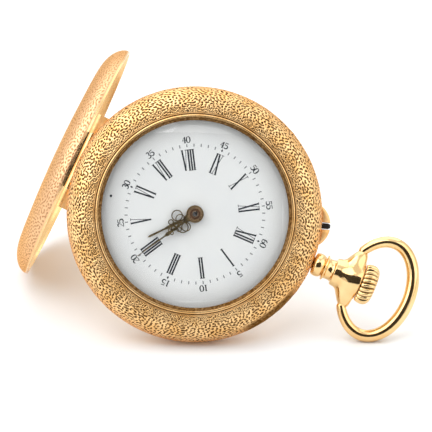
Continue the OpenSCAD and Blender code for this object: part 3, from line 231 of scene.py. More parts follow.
def gold_ribbed():
    n = Nodes("gold_ribbed")
    worn = n.ramp(n.noise(2.5, 3.0), 0.35, 0.7, 0.75, 1.0)
    # The grooves darken to dark brown: grime, and painted shade of the grooves
    groove = n.math("MULTIPLY", n.ramp(n.attribute("pit"), 0.35, 0.95, 0.0, 0.95), worn)
    colour = n.mix(groove, GOLD_YELLOW, GRIME_AND_SHADE)
    rough = n.ramp(n.noise(3.0, 3.0), 0.3, 0.7, 0.12, 0.22)
    normal = n.bump(n.noise(7.0, 3.0), 0.006, 0.4)
    return n.done(n.principled(base_color=colour, metallic=1.0, roughness=rough, normal=normal))


def gold_inside():
    n = Nodes("gold_inside")
    patches = n.ramp(n.noise(0.25, 4.0), 0.3, 0.75)
    colour = n.mix(patches, GOLD, (0.84, 0.53, 0.23))
    rough = n.ramp(n.noise(2.2, 4.0), 0.3, 0.8, 0.16, 0.34)
    swirl = n.noise(9.0, 3.0, stretch=(1.0, 0.25, 3.0))
    normal = n.bump(swirl, 0.004, 0.4)
    return n.done(n.principled(base_color=colour, metallic=1.0, roughness=rough, normal=normal))


def gold_bark():
    n = Nodes("gold_bark")
    pit, rose, bright = n.attribute("pit"), n.attribute("rose"), n.attribute("bright")
    patches = n.ramp(n.noise(0.5, 3.0), 0.35, 0.7)
    ridge = n.mix(rose, n.mix(patches, GOLD, GOLD_DEEP), GOLD_ROSE)
    # Pits darken to dark brown: grime, and painted shade of their hollows
    grime = n.ramp(n.noise(4.0, 3.0), 0.25, 0.7, 0.7, 1.0)
    depth = n.math("MULTIPLY", n.ramp(pit, 0.1, 0.7), grime)
    engraved = n.mix(depth, ridge, GRIME_AND_SHADE)
    # Where bright is set, the bark becomes a paler copy with lighter pits: painted light
    lit_copy = n.mix(n.math("MULTIPLY", depth, 0.6), GOLD_LIT_PALE, (0.40, 0.20, 0.08))
    colour = n.mix(bright, engraved, lit_copy)
    rough = n.math("ADD", n.ramp(pit, 0.1, 0.9, 0.2, 0.55), n.math("MULTIPLY", bright, 0.15))
    normal = n.bump(n.noise(14.0, 3.0), 0.01, 0.5)
    shader = n.principled(base_color=colour, metallic=1.0, roughness=rough, normal=normal)
    shader.inputs["Specular Tint"].default_value = (0.95, 0.68, 0.36, 1)
    return n.done(shader)


def gilt_frosted():
    n = Nodes("gilt_frosted")
    grain = n.noise(18.0, 2.0)
    colour = n.mix(n.ramp(n.noise(0.6, 3.0), 0.3, 0.7), (0.80, 0.58, 0.26), (0.68, 0.46, 0.20))
    rough = n.ramp(grain, 0.3, 0.7, 0.34, 0.5)
    normal = n.bump(grain, 0.02, 0.5)
    return n.done(n.principled(base_color=colour, metallic=1.0, roughness=rough, normal=normal))


def steel(name, colour, low, high):
    n = Nodes(name)
    brush = n.noise(12.0, 3.0, stretch=(1.0, 8.0, 8.0))
    rough = n.ramp(n.noise(1.5, 3.0), 0.3, 0.7, low, high)
    tone = n.mix(n.noise(0.8, 3.0), colour, tuple(c * 0.75 for c in colour))
    normal = n.bump(brush, 0.004, 0.5)
    return n.done(n.principled(base_color=tone, metallic=1.0, roughness=rough, normal=normal))


def ruby():
    n = Nodes("ruby_jewel")
    cloud = n.mix(n.ramp(n.noise(3.0, 2.0), 0.3, 0.7), (0.62, 0.03, 0.09), (0.42, 0.01, 0.05))
    rough = n.ramp(n.noise(7.0, 2.0), 0.3, 0.8, 0.03, 0.1)
    shader = n.principled(base_color=cloud, roughness=rough, ior=1.76)
    shader.inputs["Transmission Weight"].default_value = 0.35
    return n.done(shader)


def enamel():
    n = Nodes("enamel_white")
    tone = n.mix(n.ramp(n.noise(0.18, 3.0), 0.3, 0.75), (0.90, 0.895, 0.885), (0.86, 0.86, 0.86))
    # Painted shade of the bezel and glass: the dial darkens towards its edge
    edge = n.ramp(n.from_axis(), 8.5, 12.2, 0.0, 0.6)
    tone = n.mix(edge, tone, (0.54, 0.525, 0.51))
    specks = n.ramp(n.noise(4.5, 4.0, rough=0.7), 0.74, 0.8)
    tone = n.mix(n.math("MULTIPLY", specks, 0.5), tone, (0.35, 0.33, 0.30))
    rough = n.ramp(n.noise(2.0, 3.0), 0.3, 0.8, 0.06, 0.14)
    normal = n.bump(n.noise(0.5, 2.0), 0.03, 0.15)
    shader = n.principled(base_color=tone, roughness=rough, normal=normal)
    shader.inputs["Coat Weight"].default_value = 0.4
    shader.inputs["Coat Roughness"].default_value = 0.05
    return n.done(shader)


def dial_paint():
    n = Nodes("dial_paint")
    wear = n.ramp(n.noise(6.0, 3.0), 0.4, 0.75)
    tone = n.mix(wear, (0.012, 0.015, 0.022), (0.045, 0.05, 0.06))
    rough = n.ramp(n.noise(9.0, 2.0), 0.3, 0.7, 0.25, 0.4)
    return n.done(n.principled(base_color=tone, roughness=rough))


def dial_grey():
    n = Nodes("dial_grey")
    tone = n.mix(n.noise(8.0, 2.0), (0.16, 0.16, 0.17), (0.30, 0.30, 0.31))
    rough = n.ramp(n.noise(9.0, 2.0), 0.3, 0.7, 0.3, 0.45)
    return n.done(n.principled(base_color=tone, roughness=rough))


def hand_gilt():
    n = Nodes("hand_gilt")
    tarnish = n.ramp(n.noise(2.2, 4.0), 0.35, 0.7)
    tone = n.mix(tarnish, (0.30, 0.22, 0.11), (0.13, 0.10, 0.06))
    radius = n.from_axis()
    tone = n.mix(n.ramp(radius, 0.98, 0.92, 0.0, 0.9), tone, (0.52, 0.34, 0.19))
    tone = n.mix(n.ramp(radius, 0.70, 0.62, 0.0, 0.9), tone, (0.20, 0.10, 0.06))
    tone = n.mix(n.ramp(radius, 0.45, 0.38, 0.0, 0.95), tone, (0.45, 0.33, 0.24))
    rough = n.ramp(n.noise(6.0, 3.0), 0.3, 0.7, 0.25, 0.45)
    normal = n.bump(n.noise(14.0, 3.0), 0.008, 0.4)
    return n.done(n.principled(base_color=tone, metallic=1.0, roughness=rough, normal=normal))


def black_steel():
    n = Nodes("steel_black")
    tone = n.mix(n.noise(5.0, 3.0), (0.012, 0.012, 0.014), (0.035, 0.033, 0.032))
    rough = n.ramp(n.noise(4.0, 3.0), 0.3, 0.7, 0.25, 0.4)
    normal = n.bump(n.noise(10.0, 3.0), 0.01, 0.4)
    return n.done(n.principled(base_color=tone, metallic=0.8, roughness=rough, normal=normal))


def glass():
    n = Nodes("glass_clear")
    rough = n.ramp(n.noise(2.5, 4.0), 0.55, 0.85, 0.0, 0.03)
    shader = n.principled(base_color=(0.985, 0.99, 0.99), roughness=rough, ior=1.5)
    shader.inputs["Transmission Weight"].default_value = 1.0
    clear = n.tree.nodes.new("ShaderNodeBsdfTransparent")
    clear.inputs["Color"].default_value = (0.96, 0.97, 0.97, 1)
    path = n.tree.nodes.new("ShaderNodeLightPath")
    blend = n.tree.nodes.new("ShaderNodeMixShader")
    unseen = n.math("MAXIMUM", path.outputs["Is Shadow Ray"], path.outputs["Is Diffuse Ray"])
    n.link(unseen, blend.inputs[0])
    n.link(shader.outputs[0], blend.inputs[1])
    n.link(clear.outputs[0], blend.inputs[2])
    return n.done(blend)


MATERIALS = {
    "gold": gold_polished(),
    "gold_satin": gold_satin(),
    "gold_ribbed": gold_ribbed(),
    "gold_inside": gold_inside(),
    "gold_bark": gold_bark(),
    "gilt": gilt_frosted(),
    "steel": steel("steel_polished", (0.62, 0.62, 0.63), 0.12, 0.28),
    "blued_steel": steel("steel_blued", (0.05, 0.08, 0.28), 0.15, 0.3),
    "ruby": ruby(),
    "enamel": enamel(),
    "dial_paint": dial_paint(),
    "dial_grey": dial_grey(),
    "dark_brass": hand_gilt(),
    "black_steel": black_steel(),
    "glass": glass(),
}

# Each CAD node has the look of its slot, apart from these
LOOKS = {"back_cover": "gold_inside", "dust_cover": "gold_inside", "case_band": "gold_satin"}
for name, obj in nodes.items():
    slot = obj.data.materials[0].name.split(".")[0]
    obj.data.materials[0] = MATERIALS[LOOKS.get(name, slot)]


# Meshes


def add_mesh(name, points, faces, look, body, smooth=True, attributes=None):
    """A new piece from points in millimetres, which rides on a body and has a finish."""
    mesh = bpy.data.meshes.new(name)
    mesh.from_pydata(to_row(points).tolist(), [], faces if isinstance(faces, list) else faces.tolist())
    mesh.polygons.foreach_set("use_smooth", [smooth] * len(mesh.polygons))
    for key, values in (attributes or {}).items():
        layer = mesh.attributes.new(key, "FLOAT", "POINT")
        layer.data.foreach_set("value", np.asarray(values, np.float32).ravel())
    mesh.materials.append(MATERIALS[look])
    mesh.validate()
    obj = bpy.data.objects.new(name, mesh)
    bpy.context.scene.collection.objects.link(obj)
    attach(obj, body)
    return obj


def grid_faces(rows, columns, close_rows=False, flip=False):
    """Quads of a grid whose columns close into a ring."""
    last = rows if close_rows else rows - 1
    i, j = np.meshgrid(np.arange(last), np.arange(columns), indexing="ij")
    i2, j2 = (i + 1) % rows, (j + 1) % columns
    corners = [i * columns + j, i * columns + j2, i2 * columns + j2, i2 * columns + j]
    quads = np.stack(corners, -1).reshape(-1, 4)
    return quads[:, ::-1] if flip else quads


def end_caps(count, columns):
    """The first and the last ring of a grid of so many points, as faces that look outwards."""
    return [list(range(columns)), list(range(count - 1, count - 1 - columns, -1))]


def full_turn(count):
    """Angles at even steps round a full turn."""
    return np.arange(count) * 2 * math.pi / count


def revolve(profile, columns, heights=None):
    """Points of a profile of (radius, z) turned about z, with heights along its normals."""
    p = np.asarray(profile, float)
    angle = full_turn(columns)
    r, z = p[:, 0][:, None], p[:, 1][:, None]
    if heights is not None:
        along = np.gradient(p, axis=0)
        along /= np.maximum(np.linalg.norm(along, axis=1, keepdims=True), 1e-9)
        r = r + heights * along[:, 1][:, None]
        z = z - heights * along[:, 0][:, None]
    else:
        r, z = np.broadcast_to(r, (len(p), columns)), np.broadcast_to(z, (len(p), columns))
    return np.stack([r * np.cos(angle), r * np.sin(angle), z], -1)


def about_stem(radii, along, angle):
    """Points at radii about the line of the stem, which runs along y."""
    return np.stack([radii * np.cos(angle), along + 0 * angle, STEM_Z - radii * np.sin(angle)], -1)


def even_steps(profile, step):
    """The same profile, resampled at even steps of arc length."""
    p = np.asarray(profile, float)
    along = np.concatenate([[0], np.cumsum(np.linalg.norm(np.diff(p, axis=0), axis=1))])
    count = max(2, int(round(along[-1] / step)) + 1)
    at = np.linspace(0, along[-1], count)
    return np.stack([np.interp(at, along, p[:, k]) for k in (0, 1)], -1), at


def finer(table, steps):
    """The same table, with straight steps put between its rows."""
    rows = np.arange(len(table))
    at = np.linspace(0, len(table) - 1, steps * (len(table) - 1) + 1)
    return np.stack([np.interp(at, rows, table[:, k]) for k in range(table.shape[1])], -1)


def bark(rows, columns, cell, waves, seed):
    """Noise of the two wavelengths given, down the rows and along the columns, with a spread of one.

    It runs on from the last column to the first.
    """
    tall = max(2 * rows, 64)
    spectrum = np.fft.rfft2(np.random.default_rng(seed).standard_normal((tall, columns)))
    kv = np.fft.fftfreq(tall, d=cell)[:, None] * waves[0]
    ku = np.fft.rfftfreq(columns, d=cell)[None, :] * waves[1]
    band = np.exp(-(((np.hypot(ku, kv) - 1) / BARK_BAND) ** 2))
    field = np.fft.irfft2(spectrum * band, s=(tall, columns))[:rows]
    return field / field.std()


# Bezel: a bark-engraved rim and two beads beside the glass

BARK_BAND = 0.38  # how far its wavelengths stray, as a share
COLUMNS = 1536
RIM_MIDDLE_R = 14.4
STEP = 2 * math.pi * RIM_MIDDLE_R / COLUMNS
BARK_DEPTH, SWELL = 0.09, 0.012
RIM_WAVES, SWELL_WAVES = (0.33, 0.5), (1.8, 2.4)
RIM_PROUD = 0.02
# Where the painted shade patch on the outer flank is centred, and its half width
SHADE_PATCH_AT, SHADE_PATCH_HALF = 60, 16  # degrees from 3 o'clock towards the pendant

# Painted shade on the beads by their radius, dark in the groove at the glass and in the one between the
# beads
BEAD_SHADE = [
    (11.9, 0.95),
    (12.0, 0.75),
    (12.15, 0.3),
    (12.4, 0.25),
    (12.47, 0.75),
    (12.53, 0.28),
    (12.7, 0.35),
]


def half_round(centre, radius, low, high, count):
    """The crest of a bead, from its outer foot to its inner foot."""
    turn = np.linspace(0, math.pi, count)
    return [(centre + radius * math.cos(a), low + (high - low) * math.sin(a)) for a in turn]


rim_w, rim_h = CASE_R - BEZEL_IN, RIM_TOP + RIM_PROUD - BAND_FRONT
ellipse = [
    (BEZEL_IN + rim_w * math.cos(a), BAND_FRONT + rim_h * math.sin(a))
    for a in np.linspace(0, math.pi / 2, 200)
]
rim, rim_at = even_steps(ellipse, STEP)
column_angle = full_turn(COLUMNS)
fade = smoothstep(0.0, 0.2, rim_at) * (1 - smoothstep(rim_at[-1] - 0.15, rim_at[-1], rim_at))
pit = smoothstep(-0.05, 0.85, bark(len(rim), COLUMNS, STEP, RIM_WAVES, 7)) * fade[:, None]
swell = bark(len(rim), COLUMNS, STEP, SWELL_WAVES, 8)

# A dark patch without bark on the outer flank: painted shade
shade_patch = np.exp(-(((np.degrees(column_angle) - SHADE_PATCH_AT) / SHADE_PATCH_HALF) ** 4))[None, :]
shade_patch = shade_patch * (1 - smoothstep(1.5, 2.3, rim_at))[:, None]
pit = pit * (1 - shade_patch)

beads = (
    [(12.68, RIM_TOP - 0.08)]
    + half_round(12.57, 0.1, RIM_TOP - 0.1, RIM_TOP + 0.08, 8)
    + half_round(12.2, 0.26, RIM_TOP - 0.08, RIM_TOP + 0.24, 14)
    + [(11.9, RIM_TOP - 0.1), (11.72, RIM_TOP - 0.13), (11.64, RIM_TOP - 0.17)]
    + [(11.98, RIM_TOP - 0.2), (11.98, RIM_TOP - 0.55), (11.75, RIM_TOP - 0.55)]
    + [(11.75, RIM_TOP - 0.7), (12.55, RIM_TOP - 0.7)]
)
rim_inside = [
    (12.65 + 2.85 * math.cos(a), BAND_FRONT + 2.18 * math.sin(a)) for a in np.linspace(math.pi / 2, 0, 12)
]
profile = np.vstack([rim, beads, rim_inside])
all_heights = np.zeros((len(profile), COLUMNS))
all_heights[: len(rim)] = -BARK_DEPTH * pit + SWELL * swell * fade[:, None]
all_pits = np.zeros_like(all_heights)
# The patch is painted dark with the pits: painted shade
all_pits[: len(rim)] = np.maximum(pit, 0.8 * shade_patch)
all_pits[len(rim) :] = np.interp(profile[len(rim) :, 0], *zip(*BEAD_SHADE))[:, None]
rose = np.zeros_like(all_heights)
rose[: len(rim)] = (1 - smoothstep(0.2, 2.2, rim_at))[:, None] * 0.8
bezel = add_mesh(
    "bezel_bark",
    revolve(profile, COLUMNS, all_heights).reshape(-1, 3),
    grid_faces(len(profile), COLUMNS, close_rows=True),
    "gold_bark",
    "case",
    attributes={"pit": all_pits, "rose": rose, "bright": np.zeros_like(rose)},
)
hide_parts("front_bezel")

# Back cover: its outside carries the same bark, in rings at the edge and without a direction in the middle

COVER_EDGE_W, COVER_EDGE_H, COVER_DOME = 4.0, 2.65, 0.5
COVER_RELIEF, COVER_PROUD, COVER_SUNK = 0.045, 0.012, 0.02
RING_WAVES, FLAT_WAVES = (0.36, 0.48), (0.42, 0.42)
FLAT_HALF = 19.0
FLAT_CELLS = 768
LEAST_COLUMNS = 24


def sampled(field, half, x, y):
    """Values of a square field that reaches half to each side of the centre, at points of its plane."""
    cell = 2 * half / len(field)
    u, v = (x + half) / cell, (y + half) / cell
    iu, iv = (np.clip(w.astype(int), 0, len(field) - 2) for w in (u, v))
    fu, fv = u - iu, v - iv
    return (
        field[iv, iu] * (1 - fu) * (1 - fv)
        + field[iv, iu + 1] * fu * (1 - fv)
        + field[iv + 1, iu] * (1 - fu) * fv
        + field[iv + 1, iu + 1] * fu * fv
    )


def thinned(rings, values, radii, step):
    """Points, values and faces of a disc of rings, whose columns halve where they crowd to the centre."""
    kept_points, kept_values, faces, start, previous = [], [], [], 0, None
    for ring_points, ring_values, radius in zip(rings, values, radii):
        count = len(ring_points)
        while count > LEAST_COLUMNS and radius * 2 * math.pi / count < 0.7 * step:
            count //= 2
        if previous is not None:
            count = max(count, len(previous) // 2)
        stride = len(ring_points) // count
        kept_points.append(ring_points[::stride])
        kept_values.append(ring_values[::stride])
        ring = np.arange(start, start + count)
        after = np.roll(ring, -1)
        if previous is not None and len(previous) == count:
            faces += np.stack([previous, ring, after, np.roll(previous, -1)], -1).tolist()
        elif previous is not None:
            a, b = previous[0::2], previous[1::2]
            faces += np.stack([a, ring, b], -1).tolist()
            faces += np.stack([b, ring, after, np.roll(a, -1)], -1).tolist()
        previous = ring
        start += count
    faces.append(previous[::-1].tolist())
    return np.vstack(kept_points), np.concatenate(kept_values), faces


flat_r, flat_z = CASE_R - COVER_EDGE_W, COVER_Z - COVER_EDGE_H
cover_edge = [
    (flat_r + COVER_EDGE_W * math.cos(a), COVER_Z - COVER_EDGE_H * math.sin(a))
    for a in np.linspace(0.02, math.pi / 2, 200)
]
cover_flat = [
    (r, flat_z - COVER_DOME * (1 - (r / flat_r) ** 2)) for r in np.linspace(flat_r, 0.3, 200)[1:]
]
side, side_at = even_steps(cover_edge + cover_flat, STEP)
to_centre = side_at[-1] - side_at
ring_field = bark(len(side), COLUMNS, STEP, RING_WAVES, 21)
flat_field = bark(FLAT_CELLS, FLAT_CELLS, 2 * FLAT_HALF / FLAT_CELLS, FLAT_WAVES, 22)
flat_x, flat_y = to_centre[:, None] * np.cos(column_angle), to_centre[:, None] * np.sin(column_angle)
mixed = smoothstep(10.5, 12.5, to_centre)[:, None]
field = ring_field * mixed + sampled(flat_field, FLAT_HALF, flat_x, flat_y) * (1 - mixed)
fade = smoothstep(0.1, 0.4, side_at)[:, None]
pit = smoothstep(-0.1, 1.0, field) * (fade * smoothstep(0.3, 0.9, to_centre)[:, None])
heights = COVER_RELIEF * fade * (1 - pit) + COVER_PROUD * fade - COVER_SUNK * (1 - fade)
points, pits, faces = thinned(revolve(side, COLUMNS, -heights), pit, side[:, 0], STEP)
add_mesh(
    "cover_bark",
    opened(points),
    faces,
    "gold_bark",
    "back_cover",
    # bright 0.95 gives the cover the paler copy of the bark: painted light
    attributes={"pit": pits, "rose": np.full(len(points), 0.25), "bright": np.full(len(points), 0.95)},
)

# Glass: a dome inside the beads

GLASS_R, GLASS_RISE, GLASS_WALL, GLASS_IN, GLASS_SEAT_R = 11.62, 1.2, 0.5, 11.3, 11.95
GLASS_COLUMNS = 192
GLASS_Z = RIM_TOP - 0.15


def dome(reach, rise, top, radii):
    """Points of a spherical dome that rises over its reach, at the radii given."""
    ball = (reach**2 + rise**2) / (2 * rise)
    return [(r, top - ball + math.sqrt(ball**2 - r * r)) for r in radii]


over = dome(GLASS_R, GLASS_RISE, GLASS_Z + GLASS_RISE, np.linspace(0.05, GLASS_R, 40))
under_top = GLASS_Z - GLASS_WALL + GLASS_RISE
under = dome(GLASS_IN, GLASS_RISE - 0.1, under_top, np.linspace(GLASS_IN + 0.05, 0.05, 40))
seat = [(GLASS_SEAT_R, GLASS_Z - 0.06), (GLASS_SEAT_R, RIM_TOP - 0.5), (11.5, RIM_TOP - 0.52)]
profile = over + seat + under
points = revolve(profile, GLASS_COLUMNS).reshape(-1, 3)
faces = grid_faces(len(profile), GLASS_COLUMNS).tolist() + end_caps(len(points), GLASS_COLUMNS)
glass_piece = add_mesh("glass_dome", points, faces, "glass", "case")
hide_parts("crystal")

# Pendant: a turned stem with a ball and a collar, which widens into a head with two arms

PENDANT_SIDES, HEAD_STEPS, HEAD_POWER = 96, 6, 7
BALL_Y, BALL_HALF, BALL_LOW_R, BALL_SWELL = 16.8, 0.68, 1.05, 0.45
stem_foot = [(0.72, 15.3), (0.72, 16.06), (0.95, 16.1)]
stem_ball = [
    (BALL_LOW_R + BALL_SWELL * abs(math.cos(a)) ** 0.7, BALL_Y + BALL_HALF * math.sin(a))
    for a in np.radians(np.linspace(-86, 86, 19))
]
stem_collar = [(1.05, 17.5), (1.1, 17.53), (1.5, 17.56), (1.62, 17.64), (1.62, 17.76), (1.5, 17.84)]
stem_neck = [(1.4, 17.88), (1.32, 18.1), (1.33, 18.5), (1.4, 18.8)]
HEAD = np.array([
    # along the stem, radius of the body, reach of the arms, half thickness of the arms
    (18.83, 1.46, 1.3, 1.0),
    (18.87, 1.62, 1.4, 1.0),
    (19.0, 1.66, 1.5, 1.0),
    (19.7, 1.66, 1.75, 1.05),
    (20.1, 1.74, 2.45, 1.25),
    (20.5, 1.84, 3.1, 1.4),
    (20.9, 1.94, 3.6, 1.5),
    (21.2, 2.0, 3.84, 1.5),
    (21.6, 2.06, 3.9, 1.45),
    (21.95, 2.08, 3.75, 1.35),
    (22.2, 2.08, 3.4, 1.2),
    (22.32, 2.08, 2.8, 1.0),
    (22.42, 2.04, 2.2, 0.8),
    (22.48, 1.95, 1.6, 0.7),
    (22.48, 1.2, 1.0, 0.7),
])
head = finer(HEAD, HEAD_STEPS)
kernel = np.array([1, 2, 3, 4, 3, 2, 1]) / 16
for k in range(4):
    head[3:-3, k] = np.convolve(head[:, k], kernel, "valid")
around = full_turn(PENDANT_SIDES)
head_y, body_r, reach, thin = (head[:, k][:, None] for k in range(4))
wing = reach * thin / np.hypot(thin * np.cos(around), reach * np.sin(around))
head_r = (body_r**HEAD_POWER + wing**HEAD_POWER) ** (1 / HEAD_POWER)
stem = np.array(stem_foot + stem_ball + stem_collar + stem_neck)
stem_r, stem_y = stem[:, 0][:, None] * np.ones_like(around), stem[:, 1][:, None]
points = about_stem(np.vstack([stem_r, head_r]), np.vstack([stem_y, head_y]), around).reshape(-1, 3)
faces = grid_faces(len(points) // PENDANT_SIDES, PENDANT_SIDES, flip=True).tolist()
faces += end_caps(len(points), PENDANT_SIDES)
pendant = add_mesh("pendant_turned", points, faces, "gold", "case")
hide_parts("pendant")

# Crown: a barrel with deep slanting ribs

CROWN_Y, CROWN_RIBS, RIB_STEPS = 22.53, 24, 14
RIB_DEPTH, RIB_SLANT, RIB_POWER = 0.24, 0.09, 2.2
outline = np.array([
    # radius, height over the pendant
    (1.3, 0),
    (2.15, 0),
    (2.36, 0.06),
    (2.47, 0.22),
    (2.55, 0.55),
    (2.57, 0.95),
    (2.5, 1.3),
    (2.33, 1.58),
    (2.05, 1.78),
    (1.65, 1.9),
    (1.2, 1.95),
    (0.6, 1.98),
    (0.05, 2.0),
])
crown_r, crown_h = finer(outline, 5).T[:, :, None]
columns = CROWN_RIBS * RIB_STEPS
around = full_turn(columns)
groove = (0.5 + 0.5 * np.cos(CROWN_RIBS * (around + RIB_SLANT * crown_h))) ** RIB_POWER
groove = groove * smoothstep(1.5, 2.1, crown_r)
points = about_stem(crown_r - RIB_DEPTH * groove, CROWN_Y + crown_h, around).reshape(-1, 3)
faces = grid_faces(len(crown_r), columns, flip=True).tolist() + end_caps(len(points), columns)
crown = add_mesh("crown_ribs", points, faces, "gold_ribbed", "stem", attributes={"pit": groove})
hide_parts("crown")

# Guard beside the set pin: two rounded lobes with a slot between them, in which the pin shows

PIN_TURN, PIN_SLOT = math.radians(107), 0.42
GUARD_H, GUARD_CURVE, GUARD_LOW, GUARD_HIGH = 1.12, 3.0, -1.1, 0.4
GUARD_ROWS = [
    # level, share of the lobe's outline
    (GUARD_LOW, 0.8),
    (GUARD_LOW + 0.12, 0.95),
    (GUARD_LOW + 0.3, 1.0),
    (GUARD_HIGH - 0.45, 1.0),
    (GUARD_HIGH - 0.25, 0.96),
    (GUARD_HIGH - 0.1, 0.86),
    (GUARD_HIGH, 0.6),
    (GUARD_HIGH + 0.02, 0.2),
]
curve_at = CASE_R + GUARD_H - GUARD_CURVE
tip = math.acos((CASE_R**2 + curve_at**2 - GUARD_CURVE**2) / (2 * CASE_R * curve_at))
across = np.linspace(PIN_SLOT, CASE_R * math.sin(tip) - 0.02, 24)
top = np.stack([curve_at + np.sqrt(GUARD_CURVE**2 - across**2), across], -1)
foot = np.stack([np.sqrt(CASE_R**2 - across**2) - 0.15, across], -1)
loop = np.vstack([top, foot[::-1]])
middle = np.array([loop[:, 0].mean(), loop[:, 1].mean()])
pin_c, pin_s = math.cos(PIN_TURN), math.sin(PIN_TURN)
guard_points, guard_faces = [], []
for s in (1, -1):
    first, last = len(guard_points), (len(GUARD_ROWS) - 1) * len(loop)
    for z, share in GUARD_ROWS:
        for r, a in middle + (loop - middle) * share:
            guard_points.append((r * pin_c - s * a * pin_s, r * pin_s + s * a * pin_c, z))
    lobe = grid_faces(len(GUARD_ROWS), len(loop), flip=s < 0).tolist()
    lobe += [list(range(len(loop)))[::-s], list(range(last, last + len(loop)))[::s]]
    guard_faces += [[first + k for k in f] for f in lobe]
guard = add_mesh("guard_lobes", np.array(guard_points), guard_faces, "gold_satin", "case")
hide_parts("set_pin_guard")

# Bow: a swept wire that thins towards its pivots in the pendant's arms

BOW_HALF_W, BOW_HALF_L, BOW_Y, BOW_FOOT, BOW_POWER = 6.95, 4.95, 24.85, 3.75, 6
WIRE, WIRE_END, WIRE_STEPS, WIRE_SIDES = 1.65, 1.2, 161, 40
PIVOT_L, PIVOT_R, KNOB_TURN = 1.1, 0.4, 0.7
bow_a, bow_b = BOW_HALF_W - WIRE / 2, BOW_HALF_L - WIRE / 2
bow_start = -math.acos(BOW_FOOT / bow_a)
bow_drop = BOW_Y + bow_b * math.sin(bow_start) - PIVOT_Y
t = np.linspace(0, 1, WIRE_STEPS)
turn = bow_start + t * (math.pi - 2 * bow_start)
bow_line_y = BOW_Y + bow_b * np.sin(turn) - bow_drop * np.abs(2 * t - 1) ** BOW_POWER
bow_line = np.stack([bow_a * np.cos(turn), bow_line_y, np.full_like(t, STEM_Z)], -1)
along = np.gradient(bow_line, axis=0)
along /= np.linalg.norm(along, axis=1, keepdims=True)
out = np.stack([along[:, 1], -along[:, 0], np.zeros_like(t)], -1)
radius = ((WIRE_END + (WIRE - WIRE_END) * np.sin(math.pi * t) ** 0.7) / 2)[:, None, None]
round_at = full_turn(WIRE_SIDES)[None, :, None]
points = (
    bow_line[:, None]
    + radius * np.cos(round_at) * out[:, None]
    - radius * np.sin(round_at) * np.array([0.0, 0.0, 1.0])
)
bow_points, bow_faces = [points.reshape(-1, 3)], grid_faces(WIRE_STEPS, WIRE_SIDES, flip=True).tolist()
end_r = WIRE_END / 2
knob = [(end_r * math.sin(a), end_r * math.cos(a)) for a in np.linspace(0.05, math.pi - KNOB_TURN, 20)]
pivot_end = -PIVOT_L - end_r
pivot = [(0.02, pivot_end), (PIVOT_R, pivot_end), (PIVOT_R, -end_r * math.cos(KNOB_TURN))] + knob[::-1]
ring = revolve(pivot, WIRE_SIDES)
for s in (1, -1):
    end = np.stack([ring[..., 2] * s + s * BOW_FOOT, ring[..., 0] + PIVOT_Y, ring[..., 1] + STEM_Z], -1)
    first = sum(len(p) for p in bow_points)
    bow_points.append(end.reshape(-1, 3))
    bow_faces += (grid_faces(len(pivot), WIRE_SIDES, flip=s < 0) + first).tolist()
bow = add_mesh("bow_wire", np.vstack(bow_points), bow_faces, "gold", "bow")
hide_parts("bow")

# Dial printing: strokes as thin raised prisms

INK_LOW, INK_HIGH = -0.004, 0.012
THICK, THIN, SERIF, SERIF_WIDE = 0.2, 0.065, 0.075, 0.3
ROMANS = ["XII", "I", "II", "III", "IIII", "V", "VI", "VII", "VIII", "IX", "X", "XI"]
ROMAN_WIDE = {"I": 0.31, "V": 0.72, "X": 0.68}
ROMAN_LOW, ROMAN_HIGH = 5.5, 8.08
MARK_R, MARK_HALF, MARK_WIDE = 8.62, 0.19, 0.13
DIGIT_R, DIGIT_APART, DIGIT_W, DIGIT_H, DIGIT_THICK, DIGIT_THIN = 9.35, 0.52, 0.22, 0.38, 0.155, 0.06


class Strokes:
    """Collects flat outlines on the dial, for one mesh."""

    def __init__(self):
        self.points, self.faces = [], []

    def prism(self, corners):
        """A closed prism over a convex outline in the watch's plane."""
        n, first = len(corners), len(self.points)
        pairs = [(corners[k], corners[(k + 1) % n]) for k in range(n)]
        if sum(a[0] * b[1] - b[0] * a[1] for a, b in pairs) < 0:
            corners = corners[::-1]
        self.points += [(x, y, DIAL_FACE + INK_HIGH) for x, y in corners]
        self.points += [(x, y, DIAL_FACE + INK_LOW) for x, y in corners]
        self.faces.append(list(range(first, first + n)))
        self.faces.append(list(range(first + 2 * n - 1, first + n - 1, -1)))
        for k in range(n):
            k2 = (k + 1) % n
            self.faces.append([first + k, first + n + k, first + n + k2, first + k2])

    def ribbon(self, path, widths, place):
        """A stroke along a path, with its own width at each point."""
        p = np.asarray(path, float)
        w = np.broadcast_to(np.asarray(widths, float), (len(p),))
        d = np.gradient(p, axis=0)
        d /= np.maximum(np.linalg.norm(d, axis=1, keepdims=True), 1e-9)
        side = np.stack([-d[:, 1], d[:, 0]], -1) * w[:, None] / 2
        one, other = p + side, p - side
        for k in range(len(p) - 1):
            self.prism([place(*q) for q in (one[k], other[k], other[k + 1], one[k + 1])])


def dial_place(clock, radius):
    """Places glyph coordinates (right, outward) at a clock angle and radius."""
    a = math.radians(clock) + DIAL_TURN
    out, right = (math.sin(a), math.cos(a)), (math.cos(a), -math.sin(a))
    return lambda u, v: (out[0] * (radius + v) + right[0] * u, out[1] * (radius + v) + right[1] * u)


def bar(ink, place, u1, v1, u2, v2, width):
    """An upright or slanting stroke whose ends are level."""
    h = width / 2
    ink.prism([place(u1 - h, v1), place(u1 + h, v1), place(u2 + h, v2), place(u2 - h, v2)])


